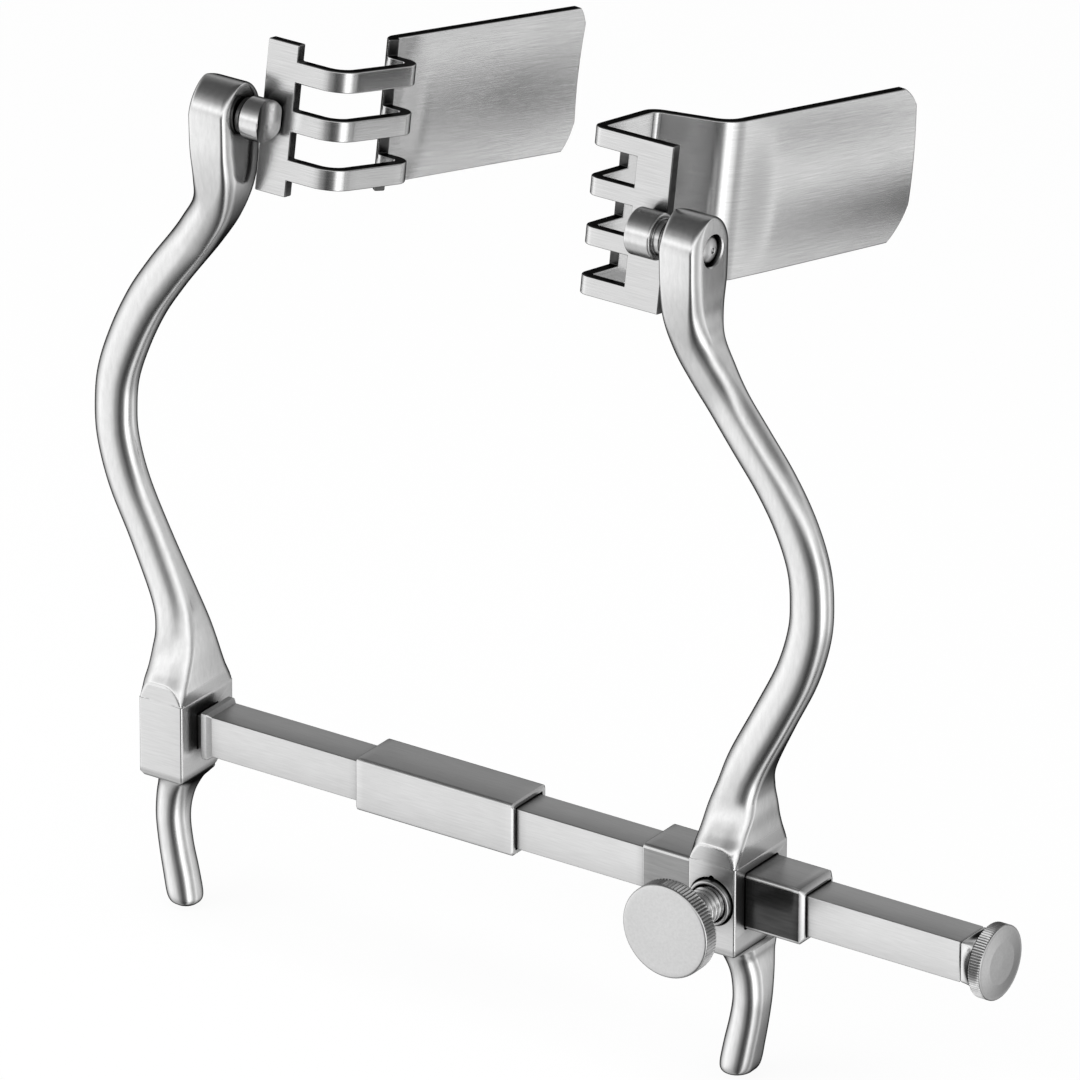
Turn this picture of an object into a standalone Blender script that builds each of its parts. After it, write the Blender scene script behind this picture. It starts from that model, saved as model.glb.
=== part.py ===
"""Self-retaining bladder retractor: two curved arms on a square crossbar, with swivelling slotted blades.

Units are metres and +Z is up. The crossbar runs along X and the blades reach away along +Y.
The origin is the middle of the crossbar's front flat on its free stretch beside the left block.
"""
import math

import bpy
import numpy as np
from mathutils import Vector

# Clearances
SEAT = 0.0003            # between pieces that are brazed, pressed or screwed against each other
SLIDE = 0.0003           # all round the crossbar inside the two sleeves
RUNNING = 0.0003         # radial, round a turning shaft

# Crossbar
BAR_HEIGHT = 0.0100
BAR_DEPTH = 0.0096
BAR_RIGHT_END = 0.1971
BAR_EDGE = 0.0004        # small chamfer along the bar
TENON_STEP = 0.0008      # how much smaller the tenon in the left block is, on each side
NECK_LENGTH = 0.0019     # bare tenon between the left block and the shoulder
SHOULDER_LENGTH = 0.0016
SHOULDER_RISE = 0.0008
SHOULDER_RAMP = 0.0011

# Blocks at the foot of each arm
LEFT_BLOCK_X = -0.0155
LEFT_BLOCK_WIDTH = 0.0120
LEFT_BLOCK_DEPTH = 0.0202
LEFT_BLOCK_HALF_HEIGHT = 0.0116
RIGHT_BLOCK_X = 0.1353
RIGHT_BLOCK_WIDTH = 0.0126
RIGHT_BLOCK_DEPTH = 0.0212
RIGHT_BLOCK_HALF_HEIGHT = 0.0128
BLOCK_EDGE = 0.0006      # rounded upright edges of the blocks
SOCKET_FLOOR = 0.0034    # metal left beyond the bar's end in the left block

# Screw that holds the bar in the left block, in the block's outer side
BAR_SCREW_RADIUS = 0.0016
BAR_SCREW_LENGTH = 0.0075
BAR_SCREW_HEAD_RADIUS = 0.0029
BAR_SCREW_HEAD_HEIGHT = 0.0014

# Arms
ARM_WIDTH = 0.0103
ARM_DEPTH = 0.0076
ARM_CROWN = 0.0041       # how far the rounded front and back reach in from each side
ARM_SIDE_ROUND = 0.0019
LEFT_TAIL = (0.0352, 0.0078, 0.0082, 0.0)      # length, width, depth and how far its middle sits back
RIGHT_TAIL = (0.0340, 0.0080, 0.0098, 0.0008)
BULGE_OUT = 0.0188       # furthest reach of the arm outside its block's middle
BULGE_HEIGHT = 0.0735
BOW_TOP = 0.1522         # height of the boss's middle before the arms are set to their own heights
HAND_SET_WIDTH = 0.0140  # half height over which an arm's bow was set by hand
LEFT_FLARE = 0.0006      # extra metal behind each arm just above its block
RIGHT_FLARE = 0.0012

# Pivots at the top of the arms
LEFT_PIVOT_HEIGHT = 0.1533
RIGHT_PIVOT_HEIGHT = 0.1514
PIVOT_IN = 0.01315       # how far the right pivot boss sits inside its block's middle
LEFT_SET_OUT = 0.0013    # how much further out the left arm's top stands
RIGHT_SET_IN = 0.0010    # how much the right arm's upper bow is pulled in
LEFT_BOSS_THICKNESS = 0.0112
RIGHT_BOSS_THICKNESS = 0.0105
BOSS_RADIUS = 0.0075
SHAFT_RADIUS = 0.0030
NECK_RADIUS = 0.0041     # shoulder of the shaft that runs against the friction washer
RIGHT_DRUM_RADIUS = 0.0054
RIGHT_DRUM_LENGTH = 0.0066
LEFT_DRUM_RADIUS = 0.0050
LEFT_DRUM_LENGTH = 0.0053
DRUM_EDGE = 0.0005
WASHER_RADIUS = 0.0043
WASHER_THICKNESS = 0.0008
COUNTERBORE_RADIUS = 0.0037
COUNTERBORE_DEPTH = 0.0030
SPRING_WASHER_THICKNESS = 0.0005
PIVOT_SCREW_HEAD_RADIUS = 0.0031
PIVOT_SCREW_HEAD_HEIGHT = 0.0014
PIVOT_SCREW_RADIUS = 0.0013
PIVOT_SCREW_LENGTH = 0.0045

# Blades, in the frame of their own pivot before they are tilted
LEFT_REST_TILT = math.radians(9.7)
RIGHT_REST_TILT = math.radians(9.3)
SHEET = 0.0026
SADDLE = 0.0011          # flat on the back of the drum, where it is brazed to the blade
TINE_HEIGHT = 0.0049
TINE_PITCH = 0.0113
BLADE_TROUGH = 0.0013    # how much the long face bulges towards the tissue
TROUGH_RUN_IN = 0.0120   # length over which the bulge grows from the fold
FOLD = 0.0026            # usual middle radius of a fold in the sheet

# Left blade, distances inward from the middle of its pivot boss
LEFT_BLADE_HALF_HEIGHT = 0.0176
LEFT_DRUM_START = 0.0072
LEFT_PLATE_START = 0.0070
LEFT_TINES_START = 0.0153
LEFT_TINE_CORNER = 0.0266
LEFT_TINE_FOLD = 0.0057
LEFT_TINE_SLANT = math.radians(15.3)
LEFT_TINE_RUN = 0.0213   # depth from the plate to the strip behind
LEFT_STRIP = 0.0234
LEFT_STRIP_EDGE = 0.0253
LEFT_BLADE_YAW = math.radians(10.4)
LEFT_BLADE_LENGTH = 0.0630
LEFT_FACE_RISE = (0.0012, 0.0015)   # lower edge of the long face above the plate's, at its start and end
LEFT_TOP_CORNER = (0.0025, 0.0048)
LEFT_BOTTOM_CORNER = (0.0043, 0.0074)

# Right blade, distances inward from the middle of its pivot boss
RIGHT_BLADE_HALF_HEIGHT = 0.0192
RIGHT_DRUM_START = 0.0083
RIGHT_PLATE_START = 0.0104
RIGHT_WEB = 0.0310
RIGHT_WEB_LEAN = 0.0004
RIGHT_WEB_DEPTH = 0.0212
RIGHT_FLANGE_END = 0.0139
RIGHT_FLANGE_RISE = 0.0060
RIGHT_FLANGE_FOLD = 0.0070
RIGHT_BLADE_YAW = math.radians(8.7)
RIGHT_BLADE_LENGTH = 0.0602
RIGHT_FACE_RISE = (0.0017, 0.0030)
RIGHT_TOP_CORNER = (0.0032, 0.0039)
RIGHT_BOTTOM_CORNER = (0.0048, 0.0088)
RIGHT_SLOT_HEIGHT = 0.0070
RIGHT_SLOT_ACROSS = 0.0126
RIGHT_SLOT_BACK = 0.0125

# Centre sleeve
CENTRE_SLEEVE_LEFT = 0.0360
CENTRE_SLEEVE_LENGTH = 0.0429
CENTRE_SLEEVE_WALL = 0.0012
CENTRE_SLEEVE_ROUND = 0.0011
SPRING_ROOM = 0.0009     # between the back of the bar and the back wall, for the leaf spring
SPRING_THICKNESS = 0.0003
SPRING_WIDTH = 0.0050
SPRING_LIP = 0.0022      # the lips that hook over both ends of the sleeve

# Slider sleeve
SLIDER_LEFT = 0.1141
SLIDER_LENGTH = 0.0427
SLIDER_WALL = 0.0015
SLIDER_EDGE = 0.0009

# Thumbscrew
THREAD_PITCH = 0.0015
THREAD_RADIUS = 0.0042
THREAD_DEPTH = 0.0006
THUMB_FACE_Y = -0.0245
THUMB_RADIUS = 0.0112
THUMB_THICKNESS = 0.0043
THUMB_EDGE = 0.0004
THUMB_TEETH = 60
HUB_RADIUS = 0.0056
HUB_LENGTH = 0.0012
KNURL_DEPTH = 0.0003
BUSH_RADIUS = 0.0054
BUSH_PROUD = 0.0015
BUSH_CHAMFER = 0.0006
NOTCH_RADIUS = 0.0007    # small drilled notch at the top of the bush's seat
NOTCH_DEPTH = 0.0012
PAD_RADIUS = 0.0036
PAD_THICKNESS = 0.0012

# End knob
COLLAR_LENGTH = 0.0036
COLLAR_RADIUS = 0.0072
KNOB_RADIUS = 0.0087
KNOB_THICKNESS = 0.0037
KNOB_DOME = 0.0004
KNOB_TEETH = 48
STUD_RADIUS = 0.0024
STUD_IN_BAR = 0.0080
STUD_IN_KNOB = 0.0022

# Derived places
BAR_Y = BAR_DEPTH / 2
LEFT_BLOCK_SIDE = LEFT_BLOCK_X + LEFT_BLOCK_WIDTH / 2
LEFT_BLOCK_OUTSIDE = LEFT_BLOCK_X - LEFT_BLOCK_WIDTH / 2
BAR_LEFT_END = LEFT_BLOCK_OUTSIDE + SOCKET_FLOOR + SEAT
LEFT_PIVOT_X = LEFT_BLOCK_X + PIVOT_IN - LEFT_SET_OUT
RIGHT_PIVOT_X = RIGHT_BLOCK_X - PIVOT_IN
SADDLE_FLAT = RIGHT_DRUM_RADIUS - SADDLE
PLATE_FRONT = SADDLE_FLAT + SEAT
SHEET_MIDDLE = PLATE_FRONT + SHEET / 2
SLIDER_FRONT = -SLIDE - SLIDER_WALL
BLOCK_FRONT = BAR_Y - RIGHT_BLOCK_DEPTH / 2
RING_STEPS = 5           # points on each rounded corner of an arm's section
ROUND_SEGMENTS = 36


def clear_scene():
    """Remove every object, so the model starts from nothing."""
    for old in list(bpy.data.objects):
        bpy.data.objects.remove(old, do_unlink=True)


def steel(name, shade, roughness):
    """A stainless steel finish: one grey level and one roughness."""
    finish = bpy.data.materials.new(name)
    finish.use_nodes = True
    shader = finish.node_tree.nodes["Principled BSDF"]
    shader.inputs["Base Color"].default_value = (shade, shade, shade * 0.99, 1.0)
    shader.inputs["Metallic"].default_value = 1.0
    shader.inputs["Roughness"].default_value = roughness
    finish.diffuse_color = (shade, shade, shade, 1.0)
    return finish


def add_object(name, vertices, faces, finish):
    """Make one named object from vertices and faces, shaded smooth across shallow edges."""
    mesh = bpy.data.meshes.new(name)
    mesh.from_pydata([tuple(map(float, v)) for v in vertices], [], faces)
    mesh.update()
    piece = bpy.data.objects.new(name, mesh)
    bpy.context.scene.collection.objects.link(piece)
    piece.data.materials.append(finish)
    mesh.shade_smooth()
    mesh.set_sharp_from_angle(angle=math.radians(32))
    return piece


def loft(name, rings, finish):
    """Join rings of equal point counts into one closed skin, with a flat cap on each end."""
    rings = np.asarray(rings, float)
    count, around = rings.shape[:2]
    faces = []
    for i in range(count - 1):
        for j in range(around):
            k = (j + 1) % around
            faces.append((i * around + j, i * around + k, (i + 1) * around + k, (i + 1) * around + j))
    faces.append(tuple(reversed(range(around))))
    faces.append(tuple(range((count - 1) * around, count * around)))
    return add_object(name, rings.reshape(-1, 3), faces, finish)


def turned(name, profile, centre, axis, finish, segments=ROUND_SEGMENTS):
    """Turn a profile of (distance along the axis, radius) pairs, without its end points on the axis."""
    toward = Vector(axis).normalized()
    turn = Vector((0, 0, 1)).rotation_difference(toward).to_matrix()
    angles = np.linspace(0, 2 * math.pi, segments, endpoint=False)
    rings = []
    for along, radius in profile:
        ring = [turn @ Vector((radius * math.cos(a), radius * math.sin(a), along)) for a in angles]
        rings.append([tuple(Vector(centre) + p) for p in ring])
    return loft(name, rings, finish)


def washer(name, profile, centre, axis, finish, segments=ROUND_SEGMENTS):
    """Turn a closed profile, outer side first, into a ring with a hole through it."""
    piece = turned(name, profile, centre, axis, finish, segments)
    mesh = piece.data
    count = len(profile)
    points = [tuple(v.co) for v in mesh.vertices]
    faces = []
    for i in range(count):
        low = i * segments
        high = (i + 1) % count * segments
        faces.extend((low + j, low + (j + 1) % segments, high + (j + 1) % segments, high + j)
                     for j in range(segments))
    bpy.data.objects.remove(piece, do_unlink=True)
    return add_object(name, points, faces, finish)


def knurled(name, profile, centre, axis, teeth, finish):
    """Turn a profile of (along, radius, cut) rows whose cut rows carry fine straight teeth."""
    toward = Vector(axis).normalized()
    turn = Vector((0, 0, 1)).rotation_difference(toward).to_matrix()
    angles = np.linspace(0, 2 * math.pi, 2 * teeth, endpoint=False)
    rings = []
    for along, radius, cut in profile:
        radii = radius - cut * KNURL_DEPTH * (np.arange(2 * teeth) % 2)
        ring = [turn @ Vector((r * math.cos(a), r * math.sin(a), along)) for r, a in zip(radii, angles)]
        rings.append([tuple(Vector(centre) + p) for p in ring])
    return loft(name, rings, finish)


def box_section(half_depth, half_height, edge):
    """Eight points of a chamfered rectangle in (Y, Z), counter-clockwise seen from +X."""
    y, z = half_depth, half_height
    return np.array([(y, -z + edge), (y, z - edge), (y - edge, z), (-y + edge, z),
                     (-y, z - edge), (-y, -z + edge), (-y + edge, -z), (y - edge, -z)])


def bar_like(name, stations, finish):
    """Loft rows of (x, middle y, half depth, half height, edge) along X."""
    rings = []
    for x, middle, half_depth, half_height, edge in stations:
        outline = box_section(half_depth, half_height, edge)
        rings.append(np.column_stack([np.full(8, x), outline[:, 0] + middle, outline[:, 1]]))
    return loft(name, rings, finish)


def block(name, low, high, finish):
    """A plain box between two corners."""
    x0, y0, z0 = low
    x1, y1, z1 = high
    corners = [(x0, y0, z0), (x1, y0, z0), (x1, y1, z0), (x0, y1, z0),
               (x0, y0, z1), (x1, y0, z1), (x1, y1, z1), (x0, y1, z1)]
    faces = [(3, 2, 1, 0), (4, 5, 6, 7), (0, 1, 5, 4), (1, 2, 6, 5), (2, 3, 7, 6), (3, 0, 4, 7)]
    return add_object(name, corners, faces, finish)


def cutter(piece):
    """Mark an object as a tool that only shapes others."""
    piece.hide_render = True
    piece.display_type = "WIRE"
    return piece


def combine(piece, other, operation):
    """Cut, join or intersect with another object, which is kept as a hidden guide."""
    boolean = piece.modifiers.new(operation.lower(), "BOOLEAN")
    boolean.operation = operation
    boolean.solver = "EXACT"
    boolean.object = cutter(other)
    return piece


def smooth_curve(points, steps):
    """A smooth curve through the given rows: each column is eased by a Catmull-Rom cubic."""
    rows = np.asarray(points, float)
    ends = np.vstack([2 * rows[0] - rows[1], rows, 2 * rows[-1] - rows[-2]])
    out = []
    for i in range(len(rows) - 1):
        a, b, c, d = ends[i:i + 4]
        t = np.linspace(0, 1, steps, endpoint=False)[:, None]
        out.append(0.5 * (2 * b + (c - a) * t + (2 * a - 5 * b + 4 * c - d) * t ** 2
                          + (3 * b - a - 3 * c + d) * t ** 3))
    return np.vstack(out + [rows[-1:]])


def section(width, depth, crown, side):
    """A closed outline in (width, depth) with quarter-ellipse corners, counter-clockwise."""
    crown = min(crown, 0.49 * width)
    side = min(side, 0.49 * depth)
    outline = []
    for i, (sx, sy) in enumerate(((1, 1), (-1, 1), (-1, -1), (1, -1))):
        start = i * math.pi / 2
        for step in range(RING_STEPS):
            a = start + step * math.pi / 2 / (RING_STEPS - 1)
            outline.append((sx * (width / 2 - crown) + crown * math.cos(a),
                            sy * (depth / 2 - side) + side * math.sin(a)))
    return np.array(outline)


def arm_stations(block_width, block_depth, half_height, tail_size, flare, boss):
    """Rows of (out, height, width, depth, middle, crown, side round) from the tail's end to the boss."""
    foot = half_height
    length, width, depth, back = tail_size
    tail_end = -foot - length
    rounded = (ARM_CROWN, ARM_SIDE_ROUND)
    square = (BLOCK_EDGE, BLOCK_EDGE)
    tail = [
        (0.0002, tail_end, width * 0.35, depth * 0.35, back, *rounded),
        (0.0003, tail_end + 0.0006, width * 0.72, depth * 0.72, back, *rounded),
        (0.0006, tail_end + 0.0022, width, depth, back, *rounded),
        (0.0017, tail_end + 0.0080, width * 1.04, depth, back, *rounded),
        (0.0031, tail_end + 0.0150, width, depth * 0.97, back, *rounded),
        (0.0038, -foot - 0.0135, width * 0.97, depth, back, *rounded),
        (0.0034, -foot - 0.0080, width, depth * 1.12, back + 0.0004, *rounded),
        (0.0022, -foot - 0.0040, width * 1.10, depth * 1.32, back + 0.0008, *rounded),
        (0.0012, -foot - 0.0018, block_width * 0.86, depth * 1.46, back + 0.0006, *rounded),
        (0.0006, -foot - 0.0006, block_width * 0.95, depth * 1.55, back + 0.0004, *rounded),
    ]
    front = -block_depth / 2
    foot_rows = []
    for up, share in ((0.0, 0.28), (0.0010, 0.36), (0.0036, 0.70), (0.0060, 0.90), (0.0085, 1.0)):
        back_y = block_depth / 2 * share
        inset = 0.0006 if up == 0.0 else 0.0
        foot_rows.append((0.0, -foot + up, block_width - 2 * inset, back_y - front - inset,
                          (back_y + front + inset) / 2, *square))
    neck = [(0.0, foot - 0.0037, block_width, block_depth, 0.0, *square)]
    upper = [
        (0.0, foot - 0.0036, block_width, block_depth + 0.0042, 0.0, *rounded),
        (0.0001, foot - 0.0012, block_width, block_depth + 0.0018, 0.0, *rounded),
        (0.0002, foot + 0.0004, block_width * 0.985, block_depth + 0.0004, 0.0, *rounded),
        (0.0003, foot + 0.0032, block_width * 0.96, block_depth - 0.0022, flare * 0.4, *rounded),
        (0.0006, foot + 0.0072, block_width * 0.945, block_depth - 0.0054, flare * 0.8, *rounded),
        (0.0013, foot + 0.0122, ARM_WIDTH * 1.02, ARM_DEPTH * 1.42 + flare * 2, flare, *rounded),
        (0.0034, foot + 0.0190, ARM_WIDTH, ARM_DEPTH * 1.14 + flare, flare * 0.6, *rounded),
    ]
    bow = [(0.0096, 0.0440), (0.0152, 0.0555), (0.0182, 0.0655), (BULGE_OUT, BULGE_HEIGHT),
           (0.0179, 0.0820), (0.0145, 0.0915), (0.0094, 0.1008), (0.0034, 0.1090), (-0.0027, 0.1167)]
    curve = [(out, height, ARM_WIDTH, ARM_DEPTH, 0.0, *rounded) for out, height in bow]
    boss_depth = 2 * BOSS_RADIUS
    half_crown = ARM_CROWN * 0.6
    low_crown = ARM_CROWN * 0.4
    flat_crown = ARM_CROWN * 0.35
    top = [
        (-0.555 * PIVOT_IN, BOW_TOP - 3.96 * BOSS_RADIUS, ARM_WIDTH, ARM_DEPTH * 1.18, 0.0, *rounded),
        (-0.897 * PIVOT_IN, BOW_TOP - 3.12 * BOSS_RADIUS, ARM_WIDTH, ARM_DEPTH * 1.42, 0.0, *rounded),
        (-0.989 * PIVOT_IN, BOW_TOP - 2.16 * BOSS_RADIUS, boss, boss_depth * 0.86, 0.0, half_crown, ARM_SIDE_ROUND),
        (-PIVOT_IN, BOW_TOP - 1.093 * BOSS_RADIUS, boss, boss_depth * 0.97, 0.0, low_crown, ARM_SIDE_ROUND),
        (-PIVOT_IN, BOW_TOP, boss, boss_depth, 0.0, flat_crown, ARM_SIDE_ROUND),
    ]
    for angle in (25, 45, 62, 76, 86):
        a = math.radians(angle)
        top.append((-PIVOT_IN, BOW_TOP + BOSS_RADIUS * math.sin(a), boss * (1 - 0.1 * math.sin(a)),
                    boss_depth * math.cos(a), 0.0, flat_crown, ARM_SIDE_ROUND * math.cos(a)))
    return tail, foot_rows + neck, upper + curve, top


def ease(value):
    """Smooth step from 0 to 1."""
    value = np.clip(value, 0, 1)
    return value * value * (3 - 2 * value)


def arm(name, block_x, outward, block_size, tail_size, flare, boss, pivot_height, set_out, pull_in, finish):
    """One forged arm: finger tail, square block and the bowed bar up to the pivot boss."""
    block_width, block_depth, half_height = block_size
    tail, foot, bow, top = arm_stations(block_width, block_depth, half_height, tail_size, flare, boss)
    rows = np.vstack([smooth_curve(tail, 2), foot, smooth_curve(bow + top[:4], 2), top[4:]])
    heights = rows[:, 1].copy()
    share = np.clip((heights - BULGE_HEIGHT) / (BOW_TOP - BULGE_HEIGHT), 0, None)
    middle_of_pull = (BULGE_HEIGHT + BOW_TOP) / 2 - 0.003
    rows[:, 0] += set_out * ease((heights - 0.088) / 0.028)
    rows[:, 0] -= pull_in * np.exp(-((heights - middle_of_pull) / HAND_SET_WIDTH) ** 2)
    rows[:, 1] += (pivot_height - BOW_TOP) * np.minimum(share, 1)
    across = np.gradient(rows[:, 0], rows[:, 1])
    lean = np.arctan(np.where((heights > half_height + 0.004) & (heights < BOW_TOP - 0.015), across, 0.0))
    rings = []
    for (out, height, width, depth, middle, crown, side), tilt in zip(rows, lean):
        ring = section(width, depth, crown, side)
        along = ring[:, 0]
        depths = np.clip(ring[:, 1] + middle, -block_depth / 2, block_depth / 2)
        x = block_x + outward * (out + along * math.cos(tilt))
        z = height - along * math.sin(tilt)
        rings.append(np.column_stack([x, BAR_Y + depths, z]))
    if outward < 0:
        rings = [ring[::-1] for ring in rings]
    return loft(name, rings, finish)


def swivel_axis(name, pivot_x, pivot_height, tilt):
    """An empty on a blade's pivot, tilted as the blade hangs."""
    axis = bpy.data.objects.new(name, None)
    bpy.context.scene.collection.objects.link(axis)
    axis.location = (pivot_x, BAR_Y, pivot_height)
    axis.rotation_euler = (-tilt, 0, 0)
    return axis


def bend(corner, before, after, radius, steps):
    """Round a corner of a path: points of the arc that touches both straight runs."""
    corner, before, after = (np.array(p, float) for p in (corner, before, after))
    u = (before - corner) / np.linalg.norm(before - corner)
    v = (after - corner) / np.linalg.norm(after - corner)
    half = math.acos(np.clip(u @ v, -1, 1)) / 2
    reach = radius / math.tan(half)
    centre = corner + (u + v) / np.linalg.norm(u + v) * radius / math.sin(half)
    start = corner + u * reach - centre
    end = corner + v * reach - centre
    a0 = math.atan2(start[1], start[0])
    a1 = math.atan2(end[1], end[0])
    sweep = (a1 - a0 + math.pi) % (2 * math.pi) - math.pi
    angles = a0 + sweep * np.linspace(0, 1, steps)
    return centre + radius * np.column_stack([np.cos(angles), np.sin(angles)])


def rounded_path(corners, radii, steps):
    """A path in plan whose inner corners are rounded to the given radii."""
    path = [np.array(corners[0], float)[None]]
    for i, radius in enumerate(radii, start=1):
        path.append(bend(corners[i], corners[i - 1], corners[i + 1], radius, steps))
    path.append(np.array(corners[-1], float)[None])
    return np.vstack(path)


def densify(path, longest):
    """Add points to a path so that no straight run is longer than the given length."""
    out = [path[0]]
    for a, b in zip(path[:-1], path[1:]):
        parts = max(1, math.ceil(np.linalg.norm(b - a) / longest))
        out.extend(a + (b - a) * k / parts for k in range(1, parts + 1))
    return np.array(out)


def run_lengths(path):
    """Distance along a path of each of its points."""
    return np.concatenate([[0], np.cumsum(np.linalg.norm(np.diff(path, axis=0), axis=1))])


def distance_at(path, column, value, rising):
    """Distance along a path where x (column 0) or y (column 1) first passes a value in one sense."""
    lengths = run_lengths(path)
    sign = 1 if rising else -1
    for i in range(len(path) - 1):
        a, b = sign * (path[i, column] - value), sign * (path[i + 1, column] - value)
        if a <= 0 < b:
            return lengths[i] + (lengths[i + 1] - lengths[i]) * a / (a - b)
    raise ValueError("the path never passes that place")


def sheet_blade(name, path, half_height, openings, face, bulge_side, finish, axis):
    """Bend a pierced sheet along a path in plan; its last stretch is troughed and has its corners cut.

    Openings are (start, end, low, high): distances along the path and heights. The face is its length,
    the rise of its lower edge at its start and end, and its top and bottom corner cuts.
    """
    face_length, rise, top_corner, bottom_corner = face
    lengths = run_lengths(path)
    total = lengths[-1]
    marks = [total - top_corner[0], total - bottom_corner[0], total - face_length, total - face_length - FOLD]
    marks += [mark for opening in openings for mark in opening[:2]]
    stations = np.concatenate([lengths, [m for m in marks if np.abs(lengths - m).min() > 0.0002]])
    stations = np.unique(np.round(stations, 7))
    levels = {-half_height, half_height}
    levels.update(height for opening in openings for height in opening[2:] if abs(height) < half_height)
    levels = densify(np.array(sorted(levels))[:, None], 0.0072)[:, 0]
    place = np.column_stack([np.interp(stations, lengths, path[:, k]) for k in (0, 1)])
    tangents = np.gradient(place, stations, axis=0)
    tangents /= np.linalg.norm(tangents, axis=1)[:, None]
    normals = np.column_stack([-tangents[:, 1], tangents[:, 0]])
    to_end = total - stations
    top = half_height - top_corner[1] * np.maximum(0, 1 - to_end / top_corner[0])
    lift = np.interp(to_end, [0, face_length, face_length + FOLD], [rise[1], rise[0], 0])
    low = -half_height + lift + bottom_corner[1] * np.maximum(0, 1 - to_end / bottom_corner[0])
    share = (levels + half_height) / (2 * half_height)
    heights = low[:, None] + (top - low)[:, None] * share[None]
    eased = ease((stations - total + face_length) / TROUGH_RUN_IN)
    trough = BLADE_TROUGH * eased[:, None] * (1 - (heights / half_height) ** 2) * bulge_side
    near = place[:, None] + normals[:, None] * (trough + SHEET / 2)[..., None]
    far = place[:, None] + normals[:, None] * (trough - SHEET / 2)[..., None]
    rows, columns = heights.shape
    near = np.concatenate([near, heights[..., None]], axis=2).reshape(-1, 3)
    far = np.concatenate([far, heights[..., None]], axis=2).reshape(-1, 3)
    along = (stations[:-1] + stations[1:])[:, None] / 2
    across = (levels[:-1] + levels[1:])[None] / 2
    solid = np.ones((rows - 1, columns - 1), bool)
    for start, end, bottom, ceiling in openings:
        solid &= ~((along > start) & (along < end) & (across > bottom) & (across < ceiling))
    padded = np.pad(solid, 1)
    count = rows * columns
    faces = []
    for i in range(rows - 1):
        for j in range(columns - 1):
            if not solid[i, j]:
                continue
            a, b, c, d = i * columns + j, (i + 1) * columns + j, (i + 1) * columns + j + 1, i * columns + j + 1
            faces.append((a, d, c, b))
            faces.append((count + a, count + b, count + c, count + d))
            if not padded[i + 1, j]:
                faces.append((a, b, count + b, count + a))
            if not padded[i + 1, j + 2]:
                faces.append((d, count + d, count + c, c))
            if not padded[i, j + 1]:
                faces.append((a, count + a, count + d, d))
            if not padded[i + 2, j + 1]:
                faces.append((b, c, count + c, count + b))
    used = sorted({k for face in faces for k in face})
    renumbered = {k: i for i, k in enumerate(used)}
    points = np.vstack([near, far])[used]
    piece = add_object(name, points, [tuple(renumbered[k] for k in face) for face in faces], finish)
    piece.parent = axis
    return piece


def local_block(name, low, high, axis, finish):
    """A cutting box in the frame of a blade's pivot."""
    piece = block(name, low, high, finish)
    piece.parent = axis
    return piece


def left_blade(finish, axis):
    """Three tines run in from the plate, fold back behind it and carry the long face."""
    y = SHEET_MIDDLE
    far_y = y + LEFT_TINE_RUN
    far_x = LEFT_TINE_CORNER + LEFT_TINE_RUN * math.tan(LEFT_TINE_SLANT)
    end = (LEFT_STRIP + LEFT_BLADE_LENGTH * math.tan(LEFT_BLADE_YAW), far_y + LEFT_BLADE_LENGTH)
    corners = [(LEFT_PLATE_START, y), (LEFT_TINE_CORNER, y), (far_x, far_y), (LEFT_STRIP, far_y), end]
    path = densify(rounded_path(corners, [LEFT_TINE_FOLD, FOLD, FOLD], 7), 0.010)
    start = LEFT_TINES_START - LEFT_PLATE_START
    stop = distance_at(path, 0, LEFT_STRIP_EDGE, False)
    half = TINE_HEIGHT / 2
    outside = LEFT_BLADE_HALF_HEIGHT
    openings = [(start, stop, TINE_PITCH + half, outside), (start, stop, half, TINE_PITCH - half),
                (start, stop, half - TINE_PITCH, -half), (start, stop, -outside, -TINE_PITCH - half)]
    face = (LEFT_BLADE_LENGTH - FOLD, LEFT_FACE_RISE, LEFT_TOP_CORNER, LEFT_BOTTOM_CORNER)
    return sheet_blade("left_blade", path, LEFT_BLADE_HALF_HEIGHT, openings, face, 1.0, finish, axis)


def right_blade(finish, axis):
    """A slotted channel, four tines high, whose back flange turns into the long outer face."""
    y = SHEET_MIDDLE
    back_y = y + RIGHT_WEB_DEPTH
    flange = (-RIGHT_FLANGE_END, back_y + RIGHT_FLANGE_RISE)
    end = (flange[0] + RIGHT_BLADE_LENGTH * math.tan(RIGHT_BLADE_YAW), flange[1] + RIGHT_BLADE_LENGTH)
    corners = [(-RIGHT_PLATE_START, y), (-RIGHT_WEB, y), (-RIGHT_WEB + RIGHT_WEB_LEAN, back_y), flange, end]
    path = densify(rounded_path(corners, [FOLD * 0.65, FOLD * 1.3, RIGHT_FLANGE_FOLD], 7), 0.010)
    start = distance_at(path, 0, -RIGHT_WEB - SHEET / 2 + RIGHT_SLOT_ACROSS, False)
    stop = distance_at(path, 1, PLATE_FRONT + RIGHT_SLOT_BACK, True)
    half = RIGHT_SLOT_HEIGHT / 2
    openings = [(start, stop, i * TINE_PITCH - half, i * TINE_PITCH + half) for i in (-1, 0, 1)]
    face = (RIGHT_BLADE_LENGTH - RIGHT_FLANGE_FOLD, RIGHT_FACE_RISE, RIGHT_TOP_CORNER, RIGHT_BOTTOM_CORNER)
    return sheet_blade("right_blade", path, RIGHT_BLADE_HALF_HEIGHT, openings, face, -1.0, finish, axis)


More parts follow.
